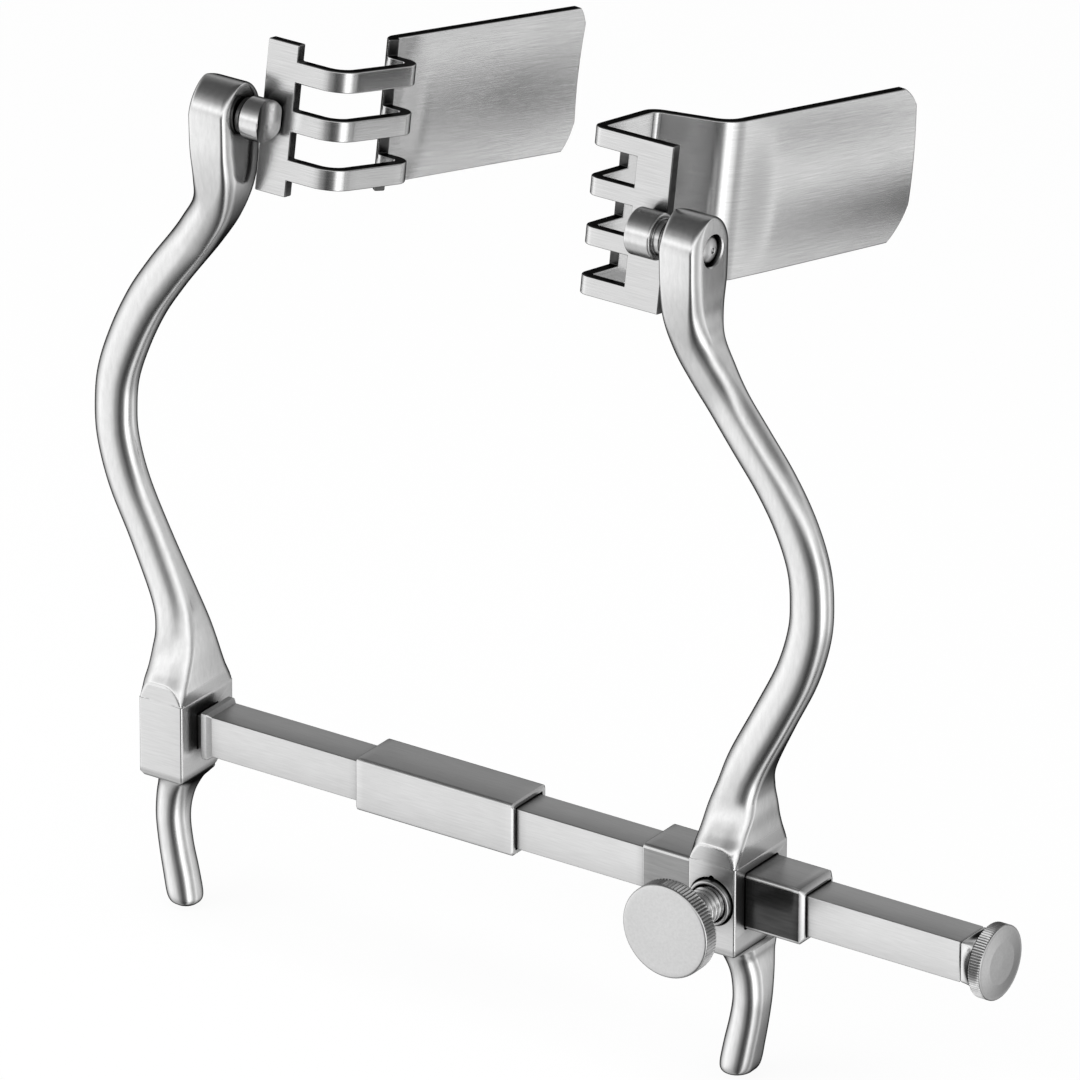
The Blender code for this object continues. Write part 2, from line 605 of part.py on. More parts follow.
def swivel(side, place, inward, boss, drum, finishes, axis):
    """Shaft with its drum, friction washer, spring washer and retaining screw of one blade's pivot."""
    bright, satin, dark = finishes
    drum_from, drum_length, drum_radius = drum
    inner = boss / 2
    floor = COUNTERBORE_DEPTH - inner
    shaft_end = floor + SEAT / 2
    neck_from = inner + SEAT + WASHER_THICKNESS + SEAT
    drum_to = drum_from + drum_length
    direction = (inward, 0, 0)
    pivot = turned(f"{side}_pivot", [
        (shaft_end, SHAFT_RADIUS - 0.0003), (shaft_end + 0.0003, SHAFT_RADIUS),
        (neck_from, SHAFT_RADIUS), (neck_from, NECK_RADIUS),
        (drum_from, NECK_RADIUS), (drum_from, drum_radius - DRUM_EDGE), (drum_from + DRUM_EDGE, drum_radius),
        (drum_to - DRUM_EDGE, drum_radius), (drum_to, drum_radius - DRUM_EDGE)],
        (0, 0, 0), direction, bright)
    pivot.parent = axis
    head_seat = floor - SEAT - SPRING_WASHER_THICKNESS - SEAT
    bore = turned(f"{side}_thread_bore", [
        (shaft_end - 0.001, PIVOT_SCREW_RADIUS + SEAT),
        (head_seat + PIVOT_SCREW_LENGTH + SEAT, PIVOT_SCREW_RADIUS + SEAT)],
        (0, 0, 0), direction, bright, 24)
    bore.parent = axis
    combine(pivot, bore, "DIFFERENCE")
    reach = drum_to + 0.002
    saddle = local_block(f"{side}_saddle", (-reach, SADDLE_FLAT, -0.01), (reach, 0.02, 0.01), axis, bright)
    combine(pivot, saddle, "DIFFERENCE")
    head_top = head_seat - PIVOT_SCREW_HEAD_HEIGHT
    screw = turned(f"{side}_pivot_screw", [
        (head_top, PIVOT_SCREW_HEAD_RADIUS * 0.30),
        (head_top + 0.10 * PIVOT_SCREW_HEAD_HEIGHT, PIVOT_SCREW_HEAD_RADIUS * 0.58),
        (head_top + 0.32 * PIVOT_SCREW_HEAD_HEIGHT, PIVOT_SCREW_HEAD_RADIUS * 0.84),
        (head_top + 0.66 * PIVOT_SCREW_HEAD_HEIGHT, PIVOT_SCREW_HEAD_RADIUS),
        (head_seat, PIVOT_SCREW_HEAD_RADIUS), (head_seat, PIVOT_SCREW_RADIUS),
        (head_seat + PIVOT_SCREW_LENGTH - 0.0003, PIVOT_SCREW_RADIUS),
        (head_seat + PIVOT_SCREW_LENGTH, PIVOT_SCREW_RADIUS - 0.0003)],
        (0, 0, 0), direction, satin, 32)
    screw.parent = axis
    hole = SHAFT_RADIUS + RUNNING
    washer(f"{side}_friction_washer", [
        (inner + SEAT, WASHER_RADIUS), (inner + SEAT + WASHER_THICKNESS, WASHER_RADIUS),
        (inner + SEAT + WASHER_THICKNESS, hole), (inner + SEAT, hole)], place, direction, dark, 40)
    hole = PIVOT_SCREW_RADIUS + RUNNING
    edge = COUNTERBORE_RADIUS - SEAT
    washer(f"{side}_spring_washer", [
        (head_seat + SEAT, edge), (floor - SEAT, edge), (floor - SEAT, hole), (head_seat + SEAT, hole)],
        place, direction, dark, 32)


def bore_boss(piece, place, inward, boss, finish):
    """Shaft bore and counterbore through a pivot boss."""
    direction = (inward, 0, 0)
    through = boss / 2 + 0.002
    floor = COUNTERBORE_DEPTH - boss / 2
    name = piece.name
    bore = turned(f"{name}_pivot_bore", [(-through, SHAFT_RADIUS + RUNNING), (through, SHAFT_RADIUS + RUNNING)],
                  place, direction, finish, 32)
    sink = turned(f"{name}_counterbore", [(-through, COUNTERBORE_RADIUS), (floor, COUNTERBORE_RADIUS)],
                  place, direction, finish, 32)
    combine(piece, bore, "DIFFERENCE")
    combine(piece, sink, "DIFFERENCE")


def crossbar(finish):
    """The square bar with its tenon and shoulder on the left and tapped ends."""
    half_depth, half_height = BAR_DEPTH / 2, BAR_HEIGHT / 2
    thin = (BAR_Y, half_depth - TENON_STEP, half_height - TENON_STEP, BAR_EDGE)
    raised = (BAR_Y, half_depth + SHOULDER_RISE, half_height + SHOULDER_RISE, BAR_EDGE)
    plain = (BAR_Y, half_depth, half_height, BAR_EDGE)
    shoulder = LEFT_BLOCK_SIDE + NECK_LENGTH
    piece = bar_like("crossbar", [
        (BAR_LEFT_END, *thin), (shoulder, *thin), (shoulder, *raised),
        (shoulder + SHOULDER_LENGTH, *raised), (shoulder + SHOULDER_LENGTH + SHOULDER_RAMP, *plain),
        (BAR_RIGHT_END, *plain)], finish)
    radius = BAR_SCREW_RADIUS + SEAT
    depth = BAR_SCREW_LENGTH - SOCKET_FLOOR + BAR_SCREW_HEAD_HEIGHT + 2 * SEAT
    tapped = turned("bar_screw_bore", [(-0.002, radius), (depth, radius)],
                    (BAR_LEFT_END, BAR_Y, 0), (1, 0, 0), finish, 24)
    radius = STUD_RADIUS + SEAT
    stud_bore = turned("bar_stud_bore", [(-0.002, radius), (STUD_IN_BAR + SEAT, radius)],
                       (BAR_RIGHT_END, BAR_Y, 0), (-1, 0, 0), finish, 32)
    combine(piece, tapped, "DIFFERENCE")
    combine(piece, stud_bore, "DIFFERENCE")
    return piece


def bar_screw(finish, arm_piece):
    """Screw through the outer side of the left block into the end of the bar, and its holes in the arm."""
    seat = LEFT_BLOCK_OUTSIDE + BAR_SCREW_HEAD_HEIGHT + SEAT
    top = seat - BAR_SCREW_HEAD_HEIGHT
    centre = (0, BAR_Y, 0)
    turned("bar_screw", [
        (top, BAR_SCREW_HEAD_RADIUS - 0.0003), (top + 0.0003, BAR_SCREW_HEAD_RADIUS),
        (seat, BAR_SCREW_HEAD_RADIUS), (seat, BAR_SCREW_RADIUS),
        (seat + BAR_SCREW_LENGTH - 0.0003, BAR_SCREW_RADIUS),
        (seat + BAR_SCREW_LENGTH, BAR_SCREW_RADIUS - 0.0003)], centre, (1, 0, 0), finish, 32)
    radius = BAR_SCREW_RADIUS + SEAT
    hole = turned("bar_screw_hole", [(LEFT_BLOCK_OUTSIDE - 0.002, radius), (BAR_LEFT_END + 0.001, radius)],
                  centre, (1, 0, 0), finish, 24)
    radius = BAR_SCREW_HEAD_RADIUS + SEAT
    sink = turned("bar_screw_sink", [(LEFT_BLOCK_OUTSIDE - 0.002, radius), (seat + SEAT, radius)],
                  centre, (1, 0, 0), finish, 32)
    half_depth = BAR_DEPTH / 2 - TENON_STEP + SEAT
    half_height = BAR_HEIGHT / 2 - TENON_STEP + SEAT
    socket = block("bar_socket", (LEFT_BLOCK_OUTSIDE + SOCKET_FLOOR, BAR_Y - half_depth, -half_height),
                   (LEFT_BLOCK_SIDE + 0.004, BAR_Y + half_depth, half_height), finish)
    combine(arm_piece, socket, "DIFFERENCE")
    combine(arm_piece, hole, "DIFFERENCE")
    combine(arm_piece, sink, "DIFFERENCE")


def centre_sleeve(finish, spring_finish):
    """Plain box sleeve that slides on the bar, kept from rattling by a leaf spring behind the bar."""
    left, right = CENTRE_SLEEVE_LEFT, CENTRE_SLEEVE_LEFT + CENTRE_SLEEVE_LENGTH
    front = -SLIDE - CENTRE_SLEEVE_WALL
    back = BAR_DEPTH + SPRING_ROOM + CENTRE_SLEEVE_WALL
    middle, half_depth = (front + back) / 2, (back - front) / 2
    half_height = BAR_HEIGHT / 2 + SLIDE + CENTRE_SLEEVE_WALL
    edge = CENTRE_SLEEVE_ROUND
    soft = 0.0004
    piece = bar_like("centre_sleeve", [
        (left, middle, half_depth - soft, half_height - soft, edge - soft / 2),
        (left + soft, middle, half_depth, half_height, edge),
        (right - soft, middle, half_depth, half_height, edge),
        (right, middle, half_depth - soft, half_height - soft, edge - soft / 2)], finish)
    hole = block("centre_sleeve_hole", (left - 0.002, -SLIDE, -BAR_HEIGHT / 2 - SLIDE),
                 (right + 0.002, BAR_DEPTH + SPRING_ROOM, BAR_HEIGHT / 2 + SLIDE), finish)
    combine(piece, hole, "DIFFERENCE")
    near = BAR_DEPTH + (SPRING_ROOM - SPRING_THICKNESS) / 2
    far = near + SPRING_THICKNESS
    ends = (left - SEAT, right + SEAT)
    outline = [(ends[0] - SPRING_THICKNESS, near), (ends[1] + SPRING_THICKNESS, near),
               (ends[1] + SPRING_THICKNESS, near + SPRING_LIP), (ends[1], near + SPRING_LIP),
               (ends[1], far), (ends[0], far), (ends[0], near + SPRING_LIP),
               (ends[0] - SPRING_THICKNESS, near + SPRING_LIP)]
    rings = [[(x, y, z) for x, y in outline] for z in (-SPRING_WIDTH / 2, SPRING_WIDTH / 2)]
    loft("sleeve_spring", rings, spring_finish)


def slider(finish, arm_piece):
    """Box sleeve that carries the right arm along the bar, with the arm's hole for it."""
    left, right = SLIDER_LEFT, SLIDER_LEFT + SLIDER_LENGTH
    half_depth = BAR_DEPTH / 2 + SLIDE + SLIDER_WALL
    half_height = BAR_HEIGHT / 2 + SLIDE + SLIDER_WALL
    edge = SLIDER_EDGE
    piece = bar_like("slider_sleeve", [
        (left, BAR_Y, half_depth - edge / 2, half_height - edge / 2, edge / 2),
        (left + edge / 2, BAR_Y, half_depth, half_height, edge),
        (right - edge, BAR_Y, half_depth, half_height, edge),
        (right, BAR_Y, half_depth - edge, half_height - edge, edge / 2)], finish)
    hole = block("slider_hole", (left - 0.002, -SLIDE, -BAR_HEIGHT / 2 - SLIDE),
                 (right + 0.002, BAR_DEPTH + SLIDE, BAR_HEIGHT / 2 + SLIDE), finish)
    radius = PAD_RADIUS + RUNNING
    pad_hole = turned("slider_pad_hole", [(SLIDER_FRONT - 0.002, radius), (-SLIDE + 0.001, radius)],
                      (RIGHT_BLOCK_X, 0, 0), (0, 1, 0), finish, 40)
    combine(piece, hole, "DIFFERENCE")
    combine(piece, pad_hole, "DIFFERENCE")
    reach_y, reach_z = half_depth + SEAT, half_height + SEAT
    passage = bar_like("arm_passage", [
        (left - 0.002, BAR_Y, reach_y, reach_z, edge), (right + 0.002, BAR_Y, reach_y, reach_z, edge)], finish)
    combine(arm_piece, passage, "DIFFERENCE")


def thumbscrew(finishes, arm_piece):
    """Knurled head, threaded shank, pressure pad and the threaded bush in the front of the right block."""
    bright, satin, dark = finishes
    centre = (RIGHT_BLOCK_X, 0, 0)
    toward = (0, 1, 0)
    back = THUMB_FACE_Y + THUMB_THICKNESS
    head = knurled("thumbscrew_head", [
        (THUMB_FACE_Y, THUMB_RADIUS - 2.2 * THUMB_EDGE, 0),
        (THUMB_FACE_Y + 0.3 * THUMB_EDGE, THUMB_RADIUS - THUMB_EDGE, 0),
        (THUMB_FACE_Y + THUMB_EDGE, THUMB_RADIUS, 1), (back - THUMB_EDGE, THUMB_RADIUS, 1),
        (back, THUMB_RADIUS - 2 * THUMB_EDGE, 0), (back, HUB_RADIUS, 0),
        (back + HUB_LENGTH - 0.0003, HUB_RADIUS, 0), (back + HUB_LENGTH, HUB_RADIUS - 0.0003, 0)],
        centre, toward, THUMB_TEETH, satin)
    shank_root = back - 0.0018
    tip = -SLIDE - PAD_THICKNESS - SEAT
    hole_radius = THREAD_RADIUS - THREAD_DEPTH + SEAT
    bore = turned("thumbscrew_head_bore", [
        (shank_root - SEAT, hole_radius), (back + HUB_LENGTH + 0.001, hole_radius)], centre, toward, satin, 32)
    combine(head, bore, "DIFFERENCE")
    core = THREAD_RADIUS - THREAD_DEPTH
    first = back + HUB_LENGTH + SEAT
    rows = [(shank_root, core - 0.0003), (shank_root + 0.0003, core), (first, core)]
    turns = int((tip - 0.0008 - first) / THREAD_PITCH)
    for i in range(turns):
        start = first + i * THREAD_PITCH
        rows.append((start + 0.35 * THREAD_PITCH, THREAD_RADIUS))
        rows.append((start + 0.55 * THREAD_PITCH, THREAD_RADIUS))
        rows.append((start + 0.90 * THREAD_PITCH, core))
    rows.append((tip - 0.0005, core))
    rows.append((tip, core - 0.0006))
    turned("thumbscrew_shank", rows, centre, toward, bright, 20)
    turned("pressure_pad", [
        (-SLIDE - PAD_THICKNESS, PAD_RADIUS - 0.0002), (-SLIDE - PAD_THICKNESS + 0.0002, PAD_RADIUS),
        (-SLIDE - 0.0002, PAD_RADIUS), (-SLIDE, PAD_RADIUS - 0.0002)], centre, toward, dark, 32)
    inside = SLIDER_FRONT - SEAT
    hole = THREAD_RADIUS + RUNNING
    front = BLOCK_FRONT - BUSH_PROUD
    washer("screw_bush", [
        (front, BUSH_RADIUS - BUSH_CHAMFER), (front + 0.7 * BUSH_CHAMFER, BUSH_RADIUS - 0.2 * BUSH_CHAMFER),
        (front + 1.4 * BUSH_CHAMFER, BUSH_RADIUS), (inside, BUSH_RADIUS), (inside, hole), (front, hole)],
        centre, toward, satin)
    seat_bore = turned("bush_seat_bore", [(BLOCK_FRONT - 0.002, BUSH_RADIUS + SEAT), (0.0, BUSH_RADIUS + SEAT)],
                       centre, toward, satin)
    combine(arm_piece, seat_bore, "DIFFERENCE")
    notch = turned("bush_notch", [(BLOCK_FRONT - 0.001, NOTCH_RADIUS), (BLOCK_FRONT + NOTCH_DEPTH, NOTCH_RADIUS)],
                   (RIGHT_BLOCK_X, 0, BUSH_RADIUS + SEAT), toward, satin, 20)
    combine(arm_piece, notch, "DIFFERENCE")


def end_stop(finishes):
    """Square-to-round collar on the bar's end and the knurled knob on its stud."""
    bright, satin, dark = finishes
    start = BAR_RIGHT_END + SEAT
    end = BAR_RIGHT_END + COLLAR_LENGTH
    segments = 48
    angles = np.linspace(0, 2 * math.pi, segments, endpoint=False) + math.pi / segments
    square = []
    for a in angles:
        y, z = math.cos(a), math.sin(a)
        scale = 1 / max(abs(y) / (BAR_DEPTH / 2), abs(z) / (BAR_HEIGHT / 2), (abs(y) + abs(z)) / 0.0094)
        square.append((y * scale, z * scale))
    square = np.array(square)
    circle = COLLAR_RADIUS * np.column_stack([np.cos(angles), np.sin(angles)])
    rings = []
    for t in (0.0, 0.15, 0.4, 0.7, 1.0):
        blend = t ** 1.6
        outline = square * (1 - blend) + circle * blend
        x = start + (end - start) * t
        rings.append(np.column_stack([np.full(segments, x), outline[:, 0] + BAR_Y, outline[:, 1]]))
    collar = loft("end_collar", rings, bright)
    centre = (0, BAR_Y, 0)
    axis = (1, 0, 0)
    knob_from = end + SEAT
    knob_to = knob_from + KNOB_THICKNESS
    knob = knurled("end_knob", [
        (knob_from, COLLAR_RADIUS, 0), (knob_from + 0.0007, KNOB_RADIUS, 1), (knob_to - 0.0003, KNOB_RADIUS, 1),
        (knob_to, KNOB_RADIUS - 0.0004, 0), (knob_to + 0.6 * KNOB_DOME, KNOB_RADIUS * 0.72, 0),
        (knob_to + 0.92 * KNOB_DOME, KNOB_RADIUS * 0.40, 0), (knob_to + KNOB_DOME, KNOB_RADIUS * 0.12, 0)],
        centre, axis, KNOB_TEETH, satin)
    stud_from = BAR_RIGHT_END - STUD_IN_BAR
    stud_to = knob_from + STUD_IN_KNOB
    turned("end_stud", [
        (stud_from, STUD_RADIUS - 0.0003), (stud_from + 0.0003, STUD_RADIUS),
        (stud_to - 0.0003, STUD_RADIUS), (stud_to, STUD_RADIUS - 0.0003)], centre, axis, dark, 32)
    radius = STUD_RADIUS + SEAT
    collar_bore = turned("collar_bore", [(start - 0.001, radius), (end + 0.001, radius)], centre, axis, bright, 32)
    knob_bore = turned("knob_bore", [(knob_from - 0.001, radius), (stud_to + SEAT, radius)], centre, axis, satin, 32)
    combine(collar, collar_bore, "DIFFERENCE")
    combine(knob, knob_bore, "DIFFERENCE")


def main():
    """Build every piece at rest."""
    clear_scene()
    polished = steel("polished steel", 0.80, 0.18)
    satin = steel("satin steel", 0.74, 0.32)
    brushed = steel("brushed steel", 0.72, 0.38)
    dark = steel("dark steel", 0.36, 0.35)
    finishes = (polished, satin, dark)
    left_arm = arm("left_arm", LEFT_BLOCK_X, -1, (LEFT_BLOCK_WIDTH, LEFT_BLOCK_DEPTH, LEFT_BLOCK_HALF_HEIGHT),
                   LEFT_TAIL, LEFT_FLARE, LEFT_BOSS_THICKNESS, LEFT_PIVOT_HEIGHT, LEFT_SET_OUT, 0.0, polished)
    right_arm = arm("right_arm", RIGHT_BLOCK_X, 1, (RIGHT_BLOCK_WIDTH, RIGHT_BLOCK_DEPTH, RIGHT_BLOCK_HALF_HEIGHT),
                    RIGHT_TAIL, RIGHT_FLARE, RIGHT_BOSS_THICKNESS, RIGHT_PIVOT_HEIGHT, 0.0, RIGHT_SET_IN, polished)
    left_place = (LEFT_PIVOT_X, BAR_Y, LEFT_PIVOT_HEIGHT)
    right_place = (RIGHT_PIVOT_X, BAR_Y, RIGHT_PIVOT_HEIGHT)
    bore_boss(left_arm, left_place, 1, LEFT_BOSS_THICKNESS, polished)
    bore_boss(right_arm, right_place, -1, RIGHT_BOSS_THICKNESS, polished)
    left_axis = swivel_axis("left_swivel_axis", LEFT_PIVOT_X, LEFT_PIVOT_HEIGHT, LEFT_REST_TILT)
    right_axis = swivel_axis("right_swivel_axis", RIGHT_PIVOT_X, RIGHT_PIVOT_HEIGHT, RIGHT_REST_TILT)
    left_blade(brushed, left_axis)
    right_blade(brushed, right_axis)
    left_drum = (LEFT_DRUM_START, LEFT_DRUM_LENGTH, LEFT_DRUM_RADIUS)
    right_drum = (RIGHT_DRUM_START, RIGHT_DRUM_LENGTH, RIGHT_DRUM_RADIUS)
    swivel("left", left_place, 1, LEFT_BOSS_THICKNESS, left_drum, finishes, left_axis)
    swivel("right", right_place, -1, RIGHT_BOSS_THICKNESS, right_drum, finishes, right_axis)
    crossbar(satin)
    bar_screw(satin, left_arm)
    centre_sleeve(satin, dark)
    slider(satin, right_arm)
    thumbscrew(finishes, right_arm)
    end_stop(finishes)


main()
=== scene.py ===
# %% [markdown]
# A self-retaining bladder retractor holds a wound open by itself. Two bowed arms stand on a square
# bar, one of them slides and is locked by a thumbscrew, and each carries a swivelling blade. The CAD
# model gives every piece its true place and size. This lesson makes the surfaces that one sees: forged
# and polished arms, brushed blades, a real screw thread, fine knurling and drawn edges.

# %% Load the frame
import math

import bpy
import numpy as np
from mathutils import Matrix, Vector


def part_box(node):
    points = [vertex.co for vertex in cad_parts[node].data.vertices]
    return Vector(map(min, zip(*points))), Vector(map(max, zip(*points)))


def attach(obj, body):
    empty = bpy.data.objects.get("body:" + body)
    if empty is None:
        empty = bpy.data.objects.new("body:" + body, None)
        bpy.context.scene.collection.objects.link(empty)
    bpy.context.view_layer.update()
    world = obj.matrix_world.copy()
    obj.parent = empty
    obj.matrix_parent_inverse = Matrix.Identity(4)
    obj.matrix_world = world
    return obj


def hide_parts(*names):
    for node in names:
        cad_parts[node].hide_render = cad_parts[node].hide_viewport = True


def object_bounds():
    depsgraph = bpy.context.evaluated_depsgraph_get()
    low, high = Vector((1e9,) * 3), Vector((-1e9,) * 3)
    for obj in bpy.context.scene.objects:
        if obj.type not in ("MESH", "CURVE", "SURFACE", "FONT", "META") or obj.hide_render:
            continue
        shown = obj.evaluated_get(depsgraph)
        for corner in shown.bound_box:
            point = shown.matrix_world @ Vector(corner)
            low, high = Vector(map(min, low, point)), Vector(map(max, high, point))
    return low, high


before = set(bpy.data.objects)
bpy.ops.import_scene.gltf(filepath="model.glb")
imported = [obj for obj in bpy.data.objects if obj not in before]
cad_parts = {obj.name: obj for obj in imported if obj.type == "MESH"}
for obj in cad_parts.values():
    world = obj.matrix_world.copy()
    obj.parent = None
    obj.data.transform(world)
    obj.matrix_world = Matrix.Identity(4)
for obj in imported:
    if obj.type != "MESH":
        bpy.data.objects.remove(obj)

cad_box = [list(map(float, corner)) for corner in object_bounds()]
print("nodes", len(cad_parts), "CAD box in metres", cad_box)

# %% [markdown]
# The camera looks from in front, from the right and from above. Its long lens stands three metres away,
# because the lines of the bar and of the blades hardly converge in the photograph. The three vectors
# are the camera's own right, up and back directions, worked out from its azimuth and elevation.

# %% Camera
AZIMUTH, ELEVATION, ROLL = math.radians(34.2395), math.radians(24.6462), math.radians(0.1863)
LOOK_AT = np.array([0.0818465, 0.0048, 0.0701971])
DISTANCE = 3.11006


def camera_axes(azimuth, elevation, roll):
    """Right, up and back as unit vectors: a turn about Z, then a tilt, then a turn in the picture."""
    right = np.array([math.cos(azimuth), math.sin(azimuth), 0])
    back = np.array([math.sin(azimuth) * math.cos(elevation), -math.cos(azimuth) * math.cos(elevation),
                     math.sin(elevation)])
    up = np.cross(back, right)
    return (right * math.cos(roll) + up * math.sin(roll), up * math.cos(roll) - right * math.sin(roll), back)


right, up, back = camera_axes(AZIMUTH, ELEVATION, ROLL)
place = Matrix.Identity(4)
for row in range(3):
    place[row] = (right[row], up[row], back[row], (LOOK_AT + DISTANCE * back)[row])
lens = bpy.data.cameras.new("camera")
lens.sensor_width = 36
lens.lens = 466.672
lens.clip_end = 20
camera = bpy.data.objects.new("camera", lens)
camera.matrix_world = place
bpy.context.scene.collection.objects.link(camera)
bpy.context.scene.camera = camera
bpy.context.scene.view_settings.view_transform = "Standard"
print("camera stands at", [round(float(v), 3) for v in camera.location])

# %% [markdown]
# Bright steel shows the room and hardly anything of its own, so the room is made before the piece. All
# shaders are built from four small helpers. The last of them lets the camera see one shader while all
# other rays see another.

# %% Node helpers
scene_collection = bpy.context.scene.collection


def shader_tree(holder):
    """The node tree of a material or a world, with its nodes turned on."""
    holder.use_nodes = True
    return holder.node_tree


def add_nodes(tree, kind, **sockets):
    """One new shader node with the named sockets set."""
    node = tree.nodes.new(kind)
    for name, value in sockets.items():
        node.inputs[name.replace("_", " ")].default_value = value
    return node


def math_node(tree, operation, *values):
    """A math node whose inputs are numbers or the outputs of other nodes."""
    node = tree.nodes.new("ShaderNodeMath")
    node.operation = operation
    for socket, value in zip(node.inputs, values):
        if isinstance(value, (int, float)):
            socket.default_value = value
        else:
            tree.links.new(value, socket)
    return node.outputs[0]


def map_range(tree, value, source, target, smooth=False):
    """A value carried from the limits of the source to those of the target, straight or eased."""
    node = tree.nodes.new("ShaderNodeMapRange")
    node.interpolation_type = "SMOOTHSTEP" if smooth else "LINEAR"
    for socket, limit in zip(("From Min", "From Max", "To Min", "To Max"), (*source, *target)):
        node.inputs[socket].default_value = limit
    tree.links.new(value, node.inputs["Value"])
    return node.outputs[0]


def for_camera(tree, usual, shown, output, share=1.0):
    """Camera rays see the second shader, by the given share, and all other rays see the first."""
    rays = tree.nodes.new("ShaderNodeLightPath")
    mixed = tree.nodes.new("ShaderNodeMixShader")
    tree.links.new(math_node(tree, "MULTIPLY", rays.outputs["Is Camera Ray"], share), mixed.inputs[0])
    tree.links.new(usual.outputs[0], mixed.inputs[1])
    tree.links.new(shown.outputs[0], mixed.inputs[2])
    tree.links.new(mixed.outputs[0], tree.nodes[output].inputs["Surface"])

# %% [markdown]
# The floor is pale and takes the shadow. The camera sees it almost plain white. The steel doesn't see
# it, because a pale floor would wash out every face that leans down.

# %% Floor
def flat_sheet(name, corners):
    """A plain rectangle between four corners."""
    mesh = bpy.data.meshes.new(name)
    mesh.from_pydata([tuple(c) for c in corners], [], [(0, 1, 2, 3)])
    sheet = bpy.data.objects.new(name, mesh)
    scene_collection.objects.link(sheet)
    return sheet


floor_height = cad_box[0][2] - 0.0004
floor_finish = bpy.data.materials.new("pale floor")
tree = shader_tree(floor_finish)
matt = tree.nodes["Principled BSDF"]
matt.inputs["Base Color"].default_value = (0.86, 0.86, 0.86, 1)
matt.inputs["Roughness"].default_value = 0.9
glow = add_nodes(tree, "ShaderNodeEmission", Color=(1, 1, 1, 1), Strength=1.0)
for_camera(tree, matt, glow, "Material Output", share=0.94)
reach = 2.0
floor = flat_sheet("floor", [(-reach, -reach, floor_height), (reach, -reach, floor_height),
                             (reach, reach, floor_height), (-reach, reach, floor_height)])
floor.data.materials.append(floor_finish)
floor.visible_glossy = False
print("floor lies at", round(floor_height, 4))

# %% [markdown]
# The light that the steel reflects is given by direction. One ramp holds the level of the walls round
# the compass, where 0 degrees is +X and 90 is +Y. So each flat face gets the tone of the direction that
# it reflects, and a round bar gets bands. A second ramp changes the walls with height. Above them an
# overhead light takes over, which has a ramp of its own and is twice as bright in front. Each ramp
# holds half of its levels, to stay within 1, and the light is the product of two ramps times the room's
# strength. Camera rays see plain white instead.

# %% Room light
world = bpy.data.worlds.new("studio")
bpy.context.scene.world = world
tree = shader_tree(world)
room = tree.nodes["Background"]
room.inputs["Strength"].default_value = 2.0
AROUND = [(-180, 0.85), (-152, 1.28), (-126, 1.10), (-108, 0.86), (-88, 0.34), (-68, 0.06), (-48, 0.18),
          (-28, 1.98), (-10, 1.20), (8, 0.52), (22, 0.64), (37, 1.10), (56, 0.54), (80, 0.30), (102, 0.07),
          (124, 0.02), (148, 0.05), (166, 0.45), (180, 0.85)]
BY_HEIGHT = [(0.0, 0.9), (0.17, 1.15), (0.29, 2.0), (0.43, 1.9), (0.60, 1.2), (1.0, 1.2)]
OVERHEAD = [(0.0, 1.2), (0.55, 1.45), (0.64, 1.30), (0.72, 0.80), (0.80, 0.34), (0.90, 0.14), (1.0, 0.12)]
FRONT_TO_BACK = [(0.25, 2.0), (0.50, 1.4), (0.70, 1.05), (1.0, 1.0)]


def light_ramp(position, stops):
    """Half of each light level along a position from 0 to 1, eased from stop to stop."""
    ramp = tree.nodes.new("ShaderNodeValToRGB")
    ramp.color_ramp.interpolation = "EASE"
    while len(ramp.color_ramp.elements) < len(stops):
        ramp.color_ramp.elements.new(0.5)
    for stop, (where, level) in zip(ramp.color_ramp.elements, stops):
        stop.position = where
        stop.color = (level / 2, level / 2, level / 2, 1)
    tree.links.new(position, ramp.inputs[0])
    return ramp.outputs[0]


direction = tree.nodes.new("ShaderNodeTexCoord")
parts = tree.nodes.new("ShaderNodeSeparateXYZ")
tree.links.new(direction.outputs["Generated"], parts.inputs[0])
compass = math_node(tree, "ARCTAN2", parts.outputs["Y"], parts.outputs["X"])
compass = math_node(tree, "MULTIPLY_ADD", compass, 1 / (2 * math.pi), 0.5)
rise = math_node(tree, "MULTIPLY_ADD", parts.outputs["Z"], 0.5, 0.5)
depth = math_node(tree, "MULTIPLY_ADD", parts.outputs["Y"], 0.5, 0.5)
walls = light_ramp(compass, [((angle + 180) / 360, level) for angle, level in AROUND])
lower = math_node(tree, "MULTIPLY", walls, light_ramp(rise, BY_HEIGHT))
ceiling = math_node(tree, "MULTIPLY", light_ramp(rise, OVERHEAD), light_ramp(depth, FRONT_TO_BACK))
upward = map_range(tree, rise, (0.50, 0.64), (0.0, 1.0), smooth=True)
lower = math_node(tree, "MULTIPLY", lower, math_node(tree, "SUBTRACT", 1.0, upward))
whole = math_node(tree, "ADD", lower, math_node(tree, "MULTIPLY", ceiling, upward))
tree.links.new(whole, room.inputs["Color"])
white = add_nodes(tree, "ShaderNodeBackground", Color=(1, 1, 1, 1), Strength=1.0)
for_camera(tree, room, white, "World Output")
print("light by direction from", len(AROUND), "stops round the compass")

# %% [markdown]
# Two soft lamps make the shadow on the floor. Neither the camera nor the steel sees them.

# %% Lamps
def lamp(name, position, target, size, power):
    """A rectangular soft lamp that faces its target."""
    light = bpy.data.lights.new(name, "AREA")
    light.shape = "RECTANGLE"
    light.size, light.size_y = size
    light.energy = power
    holder = bpy.data.objects.new(name, light)
    holder.location = position
    holder.rotation_euler = (Vector(target) - Vector(position)).to_track_quat("-Z", "Y").to_euler()
    scene_collection.objects.link(holder)
    holder.visible_camera = holder.visible_glossy = False
    print(name, "at", position)


